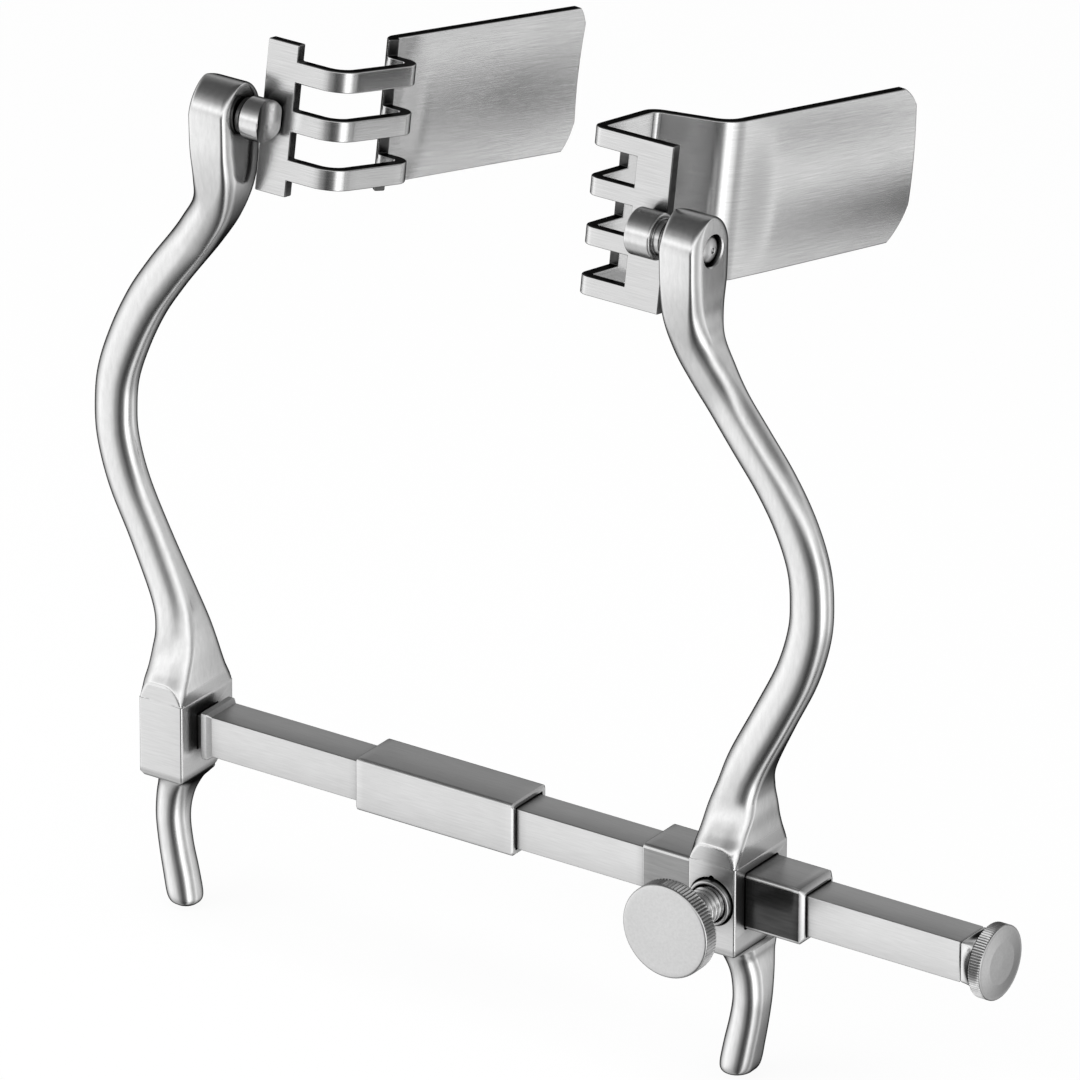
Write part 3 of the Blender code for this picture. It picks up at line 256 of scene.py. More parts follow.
LAMP_TARGET = (0.08, 0.03, 0.08)
lamp("key panel", (-0.85, -1.25, 0.90), LAMP_TARGET, (1.4, 0.9), 16.0)
lamp("top panel", (0.05, -0.15, 1.30), LAMP_TARGET, (0.9, 0.9), 14.0)

# %% [markdown]
# Upright cards behind the blades are what their long faces reflect, as a photographer of silverware
# would place them. A dark one puts the soft band across the left blade. Two grey ones tone down the
# right blade above and below its bright middle.

# %% Cards
dark_card = bpy.data.materials.new("dark card")
card_surface = shader_tree(dark_card).nodes["Principled BSDF"]
card_surface.inputs["Base Color"].default_value = (0.012, 0.012, 0.012, 1)
card_surface.inputs["Roughness"].default_value = 0.9


def even_grey(name, level):
    """A grey that glows by itself, so its tone doesn't hang on the lamps."""
    grey = bpy.data.materials.new(name)
    tree = shader_tree(grey)
    tree.nodes.remove(tree.nodes["Principled BSDF"])
    even = add_nodes(tree, "ShaderNodeEmission", Color=(level, level, level, 1), Strength=1.0)
    tree.links.new(even.outputs[0], tree.nodes["Material Output"].inputs["Surface"])
    return grey


def upright_card(name, finish, centre, facing, width, low, high):
    """A card that only the steel sees: centre +- width / 2 along its facing angle, from low to high."""
    x, y = centre
    dx, dy = math.cos(facing) * width / 2, math.sin(facing) * width / 2
    card = flat_sheet(name, [(x - dx, y - dy, low), (x + dx, y + dy, low),
                             (x + dx, y + dy, high), (x - dx, y - dy, high)])
    card.data.materials.append(finish)
    card.visible_camera = card.visible_shadow = card.visible_diffuse = False
    print(name, "from", low, "to", high)


upright_card("band card", dark_card, (0.269, 0.241), math.radians(125), 0.052, 0.014, 0.056)
for card_name, low, high, level in (("upper grey card", 0.068, 0.105, 0.30),
                                    ("lower grey card", -0.035, 0.022, 0.40)):
    upright_card(card_name, even_grey(card_name, level), (0.348, 0.249), math.radians(128), 0.040, low, high)

# %% [markdown]
# All the steel is one metal in nine finishes, made of the same few ideas. The grain is fine parallel
# scratches, a noise stretched along one direction, and goes into the bump too, so highlights break up
# as they do on real metal. The roughness changes slowly, where hands and cloths have rubbed. Painted
# shade darkens the colour in the narrow gaps, found by ambient occlusion, and convex edges are rubbed
# brighter. The colour is also painted darker where the surface turns away from the eye, a painted
# shade that gives round pieces their thin dark outline.

# %% Steel finishes
def steel(name, dull, bright, roughness, grain, relief, coordinates="Object", gap_shade=0.12, wear=0.12,
          gap=0.0030, turned_tone=0.05):
    """tone = (scratches, dull to bright, + wear on the edges) * painted shade in the gaps * painted shade
    turned away.

    The grain is stretched by three scales per metre. The painted shade in the gaps goes from gap_shade
    to 1, and the painted outline shade takes the tone from 1 to turned_tone where the surface turns away
    from the eye.
    """
    finish = bpy.data.materials.new(name)
    tree = shader_tree(finish)
    link = tree.links.new
    surface = tree.nodes["Principled BSDF"]
    surface.inputs["Metallic"].default_value = 1.0
    surface.inputs["Specular Tint"].default_value = (0.35, 0.35, 0.35, 1)
    where = tree.nodes.new("ShaderNodeTexCoord")
    stretched = add_nodes(tree, "ShaderNodeMapping", Scale=grain)
    scratches = add_nodes(tree, "ShaderNodeTexNoise", Scale=1.0, Detail=5.0, Roughness=0.65)
    patches = add_nodes(tree, "ShaderNodeTexNoise", Scale=45.0, Detail=2.0, Roughness=0.5)
    link(where.outputs[coordinates], stretched.inputs["Vector"])
    link(stretched.outputs[0], scratches.inputs["Vector"])
    link(where.outputs["Object"], patches.inputs["Vector"])

    shape = tree.nodes.new("ShaderNodeNewGeometry")
    # Painted shade: ambient occlusion darkens the colour in narrow gaps and creases, where shade falls.
    gaps = add_nodes(tree, "ShaderNodeAmbientOcclusion", Distance=gap)
    gaps.samples = 6
    rim = add_nodes(tree, "ShaderNodeLayerWeight", Blend=0.5)
    tone = map_range(tree, scratches.outputs[0], (0.25, 0.75), (dull, bright))
    edges = map_range(tree, shape.outputs["Pointiness"], (0.52, 0.60), (0.0, wear))
    shade = map_range(tree, gaps.outputs["AO"], (0.25, 0.95), (gap_shade, 1.0))
    # Painted shade: the colour falls to turned_tone where the surface turns away from the eye, a painted dark
    # outline.
    painted_outline_shade = map_range(tree, rim.outputs["Facing"], (0.56, 0.89), (1.0, turned_tone), smooth=True)
    tone = math_node(tree, "MULTIPLY", math_node(tree, "ADD", tone, edges), shade)
    tone = math_node(tree, "MULTIPLY", tone, painted_outline_shade)
    grey = tree.nodes.new("ShaderNodeCombineColor")
    for channel in ("Red", "Green", "Blue"):
        link(tone, grey.inputs[channel])
    link(grey.outputs[0], surface.inputs["Base Color"])

    rough = map_range(tree, patches.outputs[0], (0.3, 0.7), (roughness * 0.92, roughness * 1.10))
    link(rough, surface.inputs["Roughness"])
    bump = add_nodes(tree, "ShaderNodeBump", Strength=relief, Distance=0.00004)
    link(scratches.outputs[0], bump.inputs["Height"])
    link(bump.outputs[0], surface.inputs["Normal"])
    return finish


polished = steel("polished steel", 0.74, 0.86, 0.22, (900, 900, 260), 0.10)
satin = steel("satin steel", 0.68, 0.80, 0.30, (150, 2600, 2600), 0.22)
brushed = steel("brushed sheet", 0.62, 0.82, 0.20, (90, 5200, 1), 0.30, coordinates="UV")
# Painted shade: the cut edges of the blades get a near-black colour for their dark look, with a rougher grain
# as a real sheared edge has.
painted_shade_on_sheared = steel("sheared edge", 0.05, 0.11, 0.28, (700, 700, 700), 0.25, wear=0.25)
turned_face = steel("turned face", 0.66, 0.76, 0.30, (1500, 1500, 1500), 0.12, wear=0.0)
knurled_rim = steel("knurled rim", 0.66, 0.80, 0.24, (1800, 1800, 1800), 0.10, gap_shade=0.16, wear=0.2,
                    gap=0.0005, turned_tone=0.75)
dark = steel("dark bearing steel", 0.16, 0.30, 0.34, (900, 900, 900), 0.15)
# Painted shade: these two finishes darken the slider's front flat in its colour, grey left of the arm and
# nearly black right of it.
painted_shade_grey_flat = steel("grey sleeve flat", 0.28, 0.38, 0.30, (150, 2600, 2600), 0.15, gap_shade=0.3, wear=0.0)
painted_shade_dark_flat = steel("dark sleeve flat", 0.050, 0.11, 0.26, (150, 2600, 2600), 0.12, gap_shade=0.5, wear=0.0)
finishes = (polished, satin, brushed, painted_shade_on_sheared, turned_face, knurled_rim, dark, painted_shade_grey_flat, painted_shade_dark_flat)
print("finishes", [finish.name for finish in finishes])

# %% [markdown]
# Every new piece is a grid of points with two parameters, one along the piece and one around it. One
# helper joins such a grid into a closed skin, and it turns the faces outwards by the sign of the volume
# that they enclose, so no piece can end up inside out.

# %% From a grid of points to a piece
def closed_mesh(name, points, faces, crease=30):
    """A mesh whose enclosed volume is positive: the sum of a . (b x c) / 6 over its triangles."""
    mesh = bpy.data.meshes.new(name)
    mesh.from_pydata(np.asarray(points, float).tolist(), [], faces)
    mesh.update()
    mesh.calc_loop_triangles()
    corners = np.zeros(len(mesh.loop_triangles) * 3, np.int32)
    mesh.loop_triangles.foreach_get("vertices", corners)
    a, b, c = np.asarray(points, float)[corners.reshape(-1, 3)].transpose(1, 0, 2)
    if np.einsum("ij,ij->", a, np.cross(b, c)) < 0:
        mesh.flip_normals()
    mesh.shade_smooth()
    mesh.set_sharp_from_angle(angle=math.radians(crease))
    piece = bpy.data.objects.new(name, mesh)
    scene_collection.objects.link(piece)
    return piece


def skin(name, rings, loop=False, crease=30):
    """Quads between neighbouring rings of equal point counts; flat ends, or a closed loop of rings."""
    rings = np.asarray(rings, float)
    count, around = rings.shape[:2]
    i, j = np.meshgrid(np.arange(count if loop else count - 1), np.arange(around), indexing="ij")
    k, n = (j + 1) % around, (i + 1) % count
    quads = np.stack([i * around + j, i * around + k, n * around + k, n * around + j], -1).reshape(-1, 4)
    faces = quads.tolist()
    if not loop:
        faces.append(list(range(around))[::-1])
        faces.append(list(range((count - 1) * around, count * around)))
    return closed_mesh(name, rings.reshape(-1, 3), faces, crease)


def rounded(corners, radii, steps=6):
    """A line of straight runs with each inner corner replaced by an arc that touches both runs."""
    corners = np.asarray(corners, float)
    radii = np.broadcast_to(radii, len(corners) - 2)
    line = [corners[:1]]
    for before, corner, after, radius in zip(corners[:-2], corners[1:-1], corners[2:], radii):
        u = (before - corner) / np.linalg.norm(before - corner)
        v = (after - corner) / np.linalg.norm(after - corner)
        half = math.acos(np.clip(u @ v, -1, 1)) / 2
        room = 0.49 * min(np.linalg.norm(before - corner), np.linalg.norm(after - corner))
        radius = min(radius, room * math.tan(half))
        centre = corner + (u + v) / np.linalg.norm(u + v) * radius / math.sin(half)
        start = corner + u * radius / math.tan(half) - centre
        end = corner + v * radius / math.tan(half) - centre
        first, last = math.atan2(start[1], start[0]), math.atan2(end[1], end[0])
        sweep = (last - first + math.pi) % (2 * math.pi) - math.pi
        angles = first + sweep * np.linspace(0, 1, steps)
        line.append(centre + radius * np.column_stack([np.cos(angles), np.sin(angles)]))
    line.append(corners[-1:])
    return np.vstack(line)


AXIS_GAP = 0.00005      # radius of the tiny flat that closes a turned piece at its axis
AXES = {"x": ((1, 0, 0), (0, 1, 0), (0, 0, 1)), "-x": ((-1, 0, 0), (0, 1, 0), (0, 0, 1)),
        "y": ((0, 1, 0), (1, 0, 0), (0, 0, 1))}


def round_rings(profile, centre, axis, segments=144, teeth=0, cut=0.0, toothed=None):
    """Ring = centre + along * axis + radius * (cos a, sin a); teeth take a triangle wave off the radius."""
    profile = np.asarray(profile, float)
    along, radius = profile[:, 0:1], profile[:, 1:2]
    a = np.linspace(0, 2 * math.pi, segments, endpoint=False)[None]
    if teeth:
        wave = np.abs((a * teeth / (2 * math.pi)) % 1 - 0.5) * 2
        radius = radius - cut * wave * toothed(along, radius)
    forward, first, second = (np.array(v, float) for v in AXES[axis])
    return (np.array(centre, float) + along[..., None] * forward
            + (radius * np.cos(a))[..., None] * first + (radius * np.sin(a))[..., None] * second)


def turned(name, profile, centre, axis, **options):
    """A turned piece from (along, radius) pairs."""
    return skin(name, round_rings(profile, centre, axis, **options))


def ring_piece(name, profile, centre, axis, **options):
    """A turned ring from a closed outline of (along, radius) pairs."""
    return skin(name, round_rings(profile, centre, axis, **options), loop=True)


def carve(piece, *tools, crease=30):
    """Cut tools out of a piece for good, and remove them."""
    for tool in tools:
        cut = piece.modifiers.new(tool.name, "BOOLEAN")
        cut.operation = "DIFFERENCE"
        cut.solver = "EXACT"
        cut.object = tool
    bpy.context.view_layer.update()
    shaped = bpy.data.meshes.new_from_object(piece.evaluated_get(bpy.context.evaluated_depsgraph_get()))
    piece.modifiers.clear()
    piece.data = shaped
    shaped.shade_smooth()
    shaped.set_sharp_from_angle(angle=math.radians(crease))
    for tool in tools:
        bpy.data.objects.remove(tool)
    return piece


def fit(piece, finish, body, slot_name, *nodes):
    """Give a piece its finish, its moving body and the CAD nodes it stands for. slot_name is not used."""
    piece.data.materials.clear()
    piece.data.materials.append(finish)
    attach(piece, body)
    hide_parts(*nodes)
    low, high = (np.array(v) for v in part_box(nodes[0]))
    points = np.zeros(len(piece.data.vertices) * 3, np.float32)
    piece.data.vertices.foreach_get("co", points)
    points = points.reshape(-1, 3)
    off = 1000 * max(np.abs(points.min(0) - low).max(), np.abs(points.max(0) - high).max())
    print(f"{piece.name}: {len(piece.data.polygons)} faces, within {off:.2f} mm of {nodes[0]}")
    return piece

# %% [markdown]
# The bar is a drawn square bar with hardly broken edges. On its left a small shoulder stands against
# the block. A bar is one outline carried along X, so its rings are rounded rectangles whose size
# changes at the shoulder. Its right end is bored for the end stud.

# %% Crossbar
def rounded_box(half_y, half_z, radius, steps=6):
    """Outline in (Y, Z): four quarter circles joined by straight sides."""
    radius = min(radius, 0.98 * half_y, 0.98 * half_z)
    quarter = np.linspace(0, math.pi / 2, steps)
    signs = np.array([(1, 1), (-1, 1), (-1, -1), (1, -1)])
    angles = quarter[None] + np.arange(4)[:, None] * math.pi / 2
    y = signs[:, 0:1] * (half_y - radius) + radius * np.cos(angles)
    z = signs[:, 1:2] * (half_z - radius) + radius * np.sin(angles)
    return np.column_stack([y.ravel(), z.ravel()])


def box_rings(stations, middle):
    """One rounded rectangle for each (x, half depth, half height, radius)."""
    rings = []
    for x, half_y, half_z, radius in stations:
        outline = rounded_box(half_y, half_z, radius)
        rings.append(np.column_stack([np.full(len(outline), x), outline[:, 0] + middle, outline[:, 1]]))
    return np.array(rings)


BAR_Y = 0.0048
BAR_HALF = (0.0048, 0.0050)
LEFT_BLOCK_X, RIGHT_BLOCK_X = -0.0155, 0.1353
LEFT_BLOCK = (0.0120, 0.0202, 0.0116)      # width, depth and half height
RIGHT_BLOCK = (0.0126, 0.0212, 0.0128)
BAR_START, SHOULDER, BAR_END = -0.0178, -0.0076, 0.1971
tenon = (BAR_HALF[0] - 0.0008, BAR_HALF[1] - 0.0008, 0.0004)
proud = (BAR_HALF[0] + 0.0008, BAR_HALF[1] + 0.0008, 0.0005)
plain = (*BAR_HALF, 0.00035)
bar = skin("bar", box_rings([
    (BAR_START, *tenon), (SHOULDER - 0.0001, *tenon), (SHOULDER, *tenon),
    (SHOULDER, proud[0] - 0.0003, proud[1] - 0.0003, 0.0004), (SHOULDER + 0.0003, *proud),
    (SHOULDER + 0.0015, *proud), (SHOULDER + 0.0017, *proud), (SHOULDER + 0.0027, *plain),
    (SHOULDER + 0.0029, *plain), (0.10, *plain), (BAR_END - 0.0002, *plain),
    (BAR_END, BAR_HALF[0] - 0.0002, BAR_HALF[1] - 0.0002, 0.0003)], BAR_Y))
stud_low, stud_high = (np.array(v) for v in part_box("end_stud"))
stud_radius = (stud_high[2] - stud_low[2]) / 2
STUD_GAP = 0.00015


def stud_bore():
    """The drill for the end stud: its radius and a small gap, from behind its tip to past the collar."""
    wall = stud_radius + STUD_GAP
    run = [(stud_low[0] - 0.0005, wall), (stud_high[0] + 0.004, wall)]
    return turned("stud bore", run, (0, BAR_Y, 0), "x", segments=64)


carve(bar, stud_bore())
fit(bar, satin, "frame", "satin", "crossbar")

# %% [markdown]
# Each sleeve is a short box tube. Its skin runs along the outside, round the end, back along the
# inside and round the other end, so the grid closes both ways and needs no caps. The front flat of the
# slider is painted with shade in its colour: a grey panel left of the arm and nearly black right of it,
# between bright drawn edges.

# %% Sleeves
def box_tube(name, left, right, front, back, half_z, inner, radius, end_round, end_out):
    """Outer and inner rounded rectangles joined at both ends; the outer ends are drawn in by a chamfer."""
    middle, half_y = (front + back) / 2, (back - front) / 2
    run = np.linspace(left + end_round, right - end_out, 24)[1:-1]
    arc = np.linspace(0, math.pi / 2, 5)
    outside = [(left + end_round * (1 - math.cos(t)), end_round * (1 - math.sin(t))) for t in arc]
    outside += [(x, 0.0) for x in run]
    outside += [(right - end_out, 0.0), (right - end_out * 0.96, 0.00002),
                (right - end_out * 0.05, end_out * 0.93), (right, end_out)]
    rings = [box_rings([(x, half_y - d, half_z - d, radius)], middle)[0] for x, d in outside]
    inner_front, inner_back, inner_z = inner
    inside = [(right, 0.0), (right - 0.0002, 0.0), (left + 0.0002, 0.0), (left, 0.0)]
    rings += [box_rings([(x, (inner_back - inner_front) / 2, inner_z, 0.0003)],
                        (inner_front + inner_back) / 2)[0] for x, d in inside]
    return skin(name, rings, loop=True, crease=24)


middle_sleeve = box_tube("middle_sleeve", 0.0360, 0.0789, -0.0015, 0.0120, 0.0065,
                         (-0.0003, 0.0105, 0.0053), 0.0009, 0.0004, 0.0004)
fit(middle_sleeve, satin, "centre_slide", "satin", "centre_sleeve")
slider = box_tube("slider_tube", 0.1141, 0.1568, -0.0018, 0.0114, 0.0068,
                  (-0.0003, 0.0099, 0.0053), 0.0009, 0.0004, 0.0010)
pad_hole = turned("pad hole", [(-0.004, 0.0039), (0.001, 0.0039)], (RIGHT_BLOCK_X, 0, 0), "y", segments=72)
carve(slider, pad_hole)
fit(slider, satin, "right_slide", "satin", "slider_sleeve")


def second_finish(piece, finish, chosen):
    """Give the faces whose centre and normal pass the test a second finish."""
    mesh = piece.data
    mesh.materials.append(finish)
    centres = np.zeros(len(mesh.polygons) * 3, np.float32)
    normals = np.zeros(len(mesh.polygons) * 3, np.float32)
    mesh.polygons.foreach_get("center", centres)
    mesh.polygons.foreach_get("normal", normals)
    pick = chosen(centres.reshape(-1, 3), normals.reshape(-1, 3))
    index = np.zeros(len(mesh.polygons), np.int32)
    mesh.polygons.foreach_get("material_index", index)
    index[pick] = len(mesh.materials) - 1
    mesh.polygons.foreach_set("material_index", index)
    print(piece.name, "faces with", finish.name, int(pick.sum()))


def on_slider_front(centre, normal):
    """Faces of the slider's front flat, which get painted shade."""
    return (normal[:, 1] < -0.99) & (centre[:, 1] < -0.0017)


# Painted shade on the slider's front flat: grey, then nearly black right of the arm.
second_finish(slider, painted_shade_grey_flat, on_slider_front)
second_finish(slider, painted_shade_dark_flat, lambda centre, normal: (
    on_slider_front(centre, normal) & (centre[:, 0] > RIGHT_BLOCK_X)))

# %% [markdown]
# An arm is forged in one piece: a finger tail below, a square block on the bar and a bowed bar that
# ends in a boss. It is one rounded section carried along a path. The section is a rectangle whose four
# corners are quarter ellipses, and its size, its place and the shape of its corners are eased from
# one station to the next, which gives the soft shoulders of a forging.

# %% Arms
ARM_WIDTH, ARM_DEPTH, CROWN, SIDE_ROUND = 0.0103, 0.0076, 0.0046, 0.0036
BOW_TOP, BULGE, BULGE_HEIGHT, PIVOT_IN, BOSS_RADIUS = 0.1522, 0.0188, 0.0735, 0.01315, 0.0075


def eased(value):
    """Smooth step from 0 to 1: 3v^2 - 2v^3."""
    value = np.clip(value, 0, 1)
    return value * value * (3 - 2 * value)


def smooth_rows(points, steps):
    """Catmull-Rom: each span is a cubic through its two rows with the slope of their neighbours."""
    rows = np.asarray(points, float)
    ends = np.vstack([2 * rows[0] - rows[1], rows, 2 * rows[-1] - rows[-2]])
    a, b, c, d = (ends[k:len(ends) - 3 + k, None] for k in range(4))
    t = np.linspace(0, 1, steps, endpoint=False)[None, :, None]
    square, cube = 2 * a - 5 * b + 4 * c - d, 3 * b - a - 3 * c + d
    spans = 0.5 * (2 * b + (c - a) * t + square * t ** 2 + cube * t ** 3)
    return np.vstack([spans.reshape(-1, rows.shape[1]), rows[-1:]])


def arm_stations(block, tail, flare, boss):
    """Rows of (out, height, width, depth, middle, crown, side round) from the tail to the boss."""
    block_width, block_depth, foot = block
    length, width, depth, back = tail
    end = -foot - length
    soft, square = (CROWN, SIDE_ROUND), (0.0006, 0.0006)
    finger = [
        (0.0002, end, width * 0.30, depth * 0.30, back, *soft),
        (0.0003, end + 0.0006, width * 0.72, depth * 0.72, back, *soft),
        (0.0006, end + 0.0022, width, depth, back, *soft),
        (0.0017, end + 0.0080, width * 1.04, depth, back, *soft),
        (0.0031, end + 0.0150, width, depth * 0.97, back, *soft),
        (0.0038, -foot - 0.0135, width * 0.97, depth, back, *soft),
        (0.0034, -foot - 0.0080, width, depth * 1.12, back + 0.0004, *soft),
        (0.0022, -foot - 0.0040, width * 1.10, depth * 1.32, back + 0.0008, *soft),
        (0.0012, -foot - 0.0018, block_width * 0.86, depth * 1.46, back + 0.0006, *soft),
        (0.0006, -foot - 0.0006, block_width * 0.95, depth * 1.55, back + 0.0004, *soft)]
    front = -block_depth / 2
    foot_rows = []
    for lift, share in ((0.0, 0.28), (0.0002, 0.30), (0.0010, 0.36), (0.0023, 0.54), (0.0036, 0.70),
                        (0.0048, 0.81), (0.0060, 0.90), (0.0072, 0.96), (0.0085, 1.0)):
        rear = block_depth / 2 * share
        inset = 0.0006 * max(0.0, 1 - lift / 0.0010)
        foot_rows.append((0.0, -foot + lift, block_width - 2 * inset, rear - front - inset,
                          (rear + front + inset) / 2, *square))
    neck = [(0.0, foot - 0.0045, block_width, block_depth, 0.0, *square),
            (0.0, foot - 0.0037, block_width, block_depth, 0.0, *square)]
    shoulder = [
        (0.0, foot - 0.0036, block_width, block_depth + 0.0042, 0.0, *soft),
        (0.0001, foot - 0.0012, block_width, block_depth + 0.0018, 0.0, *soft),
        (0.0002, foot + 0.0004, block_width * 0.985, block_depth + 0.0004, 0.0, *soft),
        (0.0003, foot + 0.0032, block_width * 0.96, block_depth - 0.0022, flare * 0.4, *soft),
        (0.0006, foot + 0.0072, block_width * 0.945, block_depth - 0.0054, flare * 0.8, *soft),
        (0.0013, foot + 0.0122, ARM_WIDTH * 1.02, ARM_DEPTH * 1.42 + flare * 2, flare, *soft),
        (0.0034, foot + 0.0190, ARM_WIDTH, ARM_DEPTH * 1.14 + flare, flare * 0.6, *soft)]
    bow = [(0.0096, 0.0440), (0.0152, 0.0555), (0.0182, 0.0655), (BULGE, BULGE_HEIGHT), (0.0179, 0.0820),
           (0.0145, 0.0915), (0.0094, 0.1008), (0.0034, 0.1090), (-0.0027, 0.1167)]
    curve = [(out, height, ARM_WIDTH, ARM_DEPTH, 0.0, *soft) for out, height in bow]
    deep = 2 * BOSS_RADIUS
    top = [
        (-0.0070, 0.1225, ARM_WIDTH, ARM_DEPTH * 1.18, 0.0, *soft),
        (-0.0111, 0.1290, ARM_WIDTH, ARM_DEPTH * 1.42, 0.0, *soft),
        (-0.0130, 0.1360, boss, deep * 0.86, 0.0, CROWN * 0.6, SIDE_ROUND),
        (-PIVOT_IN, 0.1440, boss, deep * 0.97, 0.0, CROWN * 0.4, SIDE_ROUND),
        (-PIVOT_IN, BOW_TOP, boss, deep, 0.0, CROWN * 0.35, SIDE_ROUND)]
    dome = [(-PIVOT_IN, BOW_TOP + BOSS_RADIUS * math.sin(a), boss * (1 - 0.1 * math.sin(a)),
             deep * math.cos(a), 0.0, CROWN * 0.35, SIDE_ROUND * math.cos(a))
            for a in np.radians(np.linspace(4, 88, 20))]
    return finger, foot_rows + neck, shoulder + curve, top, dome


def arm_section(width, depth, crown, side, steps=14):
    """Closed outline in (width, depth) with quarter-ellipse corners of the two given radii."""
    crown, side = min(crown, 0.49 * width), min(side, 0.49 * depth)
    angles = np.linspace(0, math.pi / 2, steps)[None] + np.arange(4)[:, None] * math.pi / 2
    signs = np.array([(1, 1), (-1, 1), (-1, -1), (1, -1)])
    across = signs[:, 0:1] * (width / 2 - crown) + crown * np.cos(angles)
    deep = signs[:, 1:2] * (depth / 2 - side) + side * np.sin(angles)
    return np.column_stack([across.ravel(), deep.ravel()])


def arm_skin(name, block_x, outward, block, tail, flare, boss, pivot_height, set_out, pull_in):
    """The eased stations, leaned so that the section stays square to the bow, then clipped to the block.

    set_out moves the arm outwards from a little above its bulge. pull_in draws it inwards about halfway
    between the bulge and the boss.
    """
    finger, foot, bow, top, dome = arm_stations(block, tail, flare, boss)
    rows = np.vstack([smooth_rows(finger, 6), foot, smooth_rows(bow + top, 7), dome])
    heights = rows[:, 1].copy()
    share = np.clip((heights - BULGE_HEIGHT) / (BOW_TOP - BULGE_HEIGHT), 0, 1)
    rows[:, 0] += set_out * eased((heights - 0.088) / 0.028)
    rows[:, 0] -= pull_in * np.exp(-((heights - (BULGE_HEIGHT + BOW_TOP) / 2 + 0.003) / 0.014) ** 2)
    rows[:, 1] += (pivot_height - BOW_TOP) * share
    across = np.gradient(rows[:, 0], rows[:, 1])
    bowed = (heights > block[2] + 0.004) & (heights < BOW_TOP - 0.015)
    lean = np.arctan(np.where(bowed, across, 0.0))
    soft_ends = np.convolve(np.pad(lean, 7, mode="edge"), np.ones(15) / 15, mode="valid")
    lean = np.where(heights > block[2], soft_ends, 0.0)
    outlines = np.array([arm_section(*row[[2, 3, 5, 6]]) for row in rows])
    deep = np.clip(outlines[..., 1] + rows[:, 4:5], -block[1] / 2, block[1] / 2)
    x = block_x + outward * (rows[:, 0:1] + outlines[..., 0] * np.cos(lean)[:, None])
    z = rows[:, 1:2] - outlines[..., 0] * np.sin(lean)[:, None]
    return skin(name, np.stack([x, BAR_Y + deep, z], -1), crease=50)


def hole(name, centre, axis, along, radius, mouth=0.0):
    """A drill that widens at its first end, so that the hole gets a broken edge."""
    start, end = along
    profile = [(start, radius), (end, radius)]
    if mouth:
        flat = start + 0.002
        profile = [(start, radius + mouth + 0.002), (flat, radius + mouth), (flat + mouth, radius),
                   (end, radius)]
    return turned(name, profile, centre, axis, segments=96)


LEFT_PIVOT = (LEFT_BLOCK_X + PIVOT_IN - 0.0013, BAR_Y, 0.1533)
RIGHT_PIVOT = (RIGHT_BLOCK_X - PIVOT_IN, BAR_Y, 0.1514)
LEFT_BOSS, RIGHT_BOSS = 0.0112, 0.0105
left = arm_skin("left_bow", LEFT_BLOCK_X, -1, LEFT_BLOCK, (0.0352, 0.0078, 0.0082, 0.0), 0.0006,
                LEFT_BOSS, LEFT_PIVOT[2], 0.0013, 0.0)
right = arm_skin("right_bow", RIGHT_BLOCK_X, 1, RIGHT_BLOCK, (0.0340, 0.0080, 0.0098, 0.0008), 0.0012,
                 RIGHT_BOSS, RIGHT_PIVOT[2], 0.0, 0.0010)
block_outside = LEFT_BLOCK_X - LEFT_BLOCK[0] / 2
socket = skin("socket", box_rings([(block_outside + 0.0034, 0.0043, 0.0045, 0.0003),
                                   (LEFT_BLOCK_X + 0.012, 0.0043, 0.0045, 0.0003)], BAR_Y))
carve(left, socket,
      hole("screw hole", (0, BAR_Y, 0), "x", (block_outside - 0.002, block_outside + 0.005), 0.0019),
      hole("screw seat", (0, BAR_Y, 0), "x", (block_outside - 0.002, block_outside + 0.0020), 0.0032, 0.0002),
      hole("shaft bore", LEFT_PIVOT, "x", (-0.009, 0.009), 0.0033),
      hole("shaft seat", LEFT_PIVOT, "x", (-LEFT_BOSS / 2 - 0.002, 0.0030 - LEFT_BOSS / 2), 0.0037, 0.0002),
      crease=44)
block_front = BAR_Y - RIGHT_BLOCK[1] / 2
passage_size = (0.0069, 0.0071, 0.0009)
passage = skin("passage", box_rings([(0.120, *passage_size), (0.150, *passage_size)], BAR_Y))
carve(right, passage,
      hole("bush seat", (RIGHT_BLOCK_X, 0, 0), "y", (block_front - 0.002, 0.0), 0.0057, 0.0002),
      hole("bush notch", (RIGHT_BLOCK_X, 0, 0.0057), "y", (block_front - 0.002, block_front + 0.0012),
           0.0007),
      hole("right shaft bore", RIGHT_PIVOT, "-x", (-0.009, 0.009), 0.0033),
      hole("right shaft seat", RIGHT_PIVOT, "-x", (-RIGHT_BOSS / 2 - 0.002, 0.0030 - RIGHT_BOSS / 2),
           0.0037, 0.0003),
      crease=44)
fit(left, polished, "frame", "polished", "left_arm")
fit(right, polished, "right_slide", "polished", "right_arm")


def on_block(half_height):
    """The flat sides of a block, which are ground and not polished."""
    return lambda centre, normal: (np.abs(centre[:, 2]) < half_height) & (np.abs(normal).max(1) > 0.995)


second_finish(left, satin, on_block(LEFT_BLOCK[2]))
second_finish(right, satin, on_block(RIGHT_BLOCK[2]))

# %% [markdown]
# A blade is one strip of sheet, bent along a path in plan and pierced with slots. The grid follows the
# path in one direction and the height in the other. Cells that lie in a slot are left out, and every
# border between a kept cell and a missing one gets a wall from the near face to the far one. A small
# bevel then breaks the sheared edges, which catch the light on the real sheet.

# %% Blades
SHEET, FOLD, TINE, PITCH = 0.0026, 0.0026, 0.0049, 0.0113
LEFT_LENGTH, LEFT_HALF = 0.0630, 0.0176
RIGHT_LENGTH, RIGHT_HALF = 0.0602, 0.0192
TROUGH = 0.0013
SADDLE_FLAT = 0.0043
PLATE_FRONT = SADDLE_FLAT + 0.0003
PLATE_MIDDLE = PLATE_FRONT + SHEET / 2


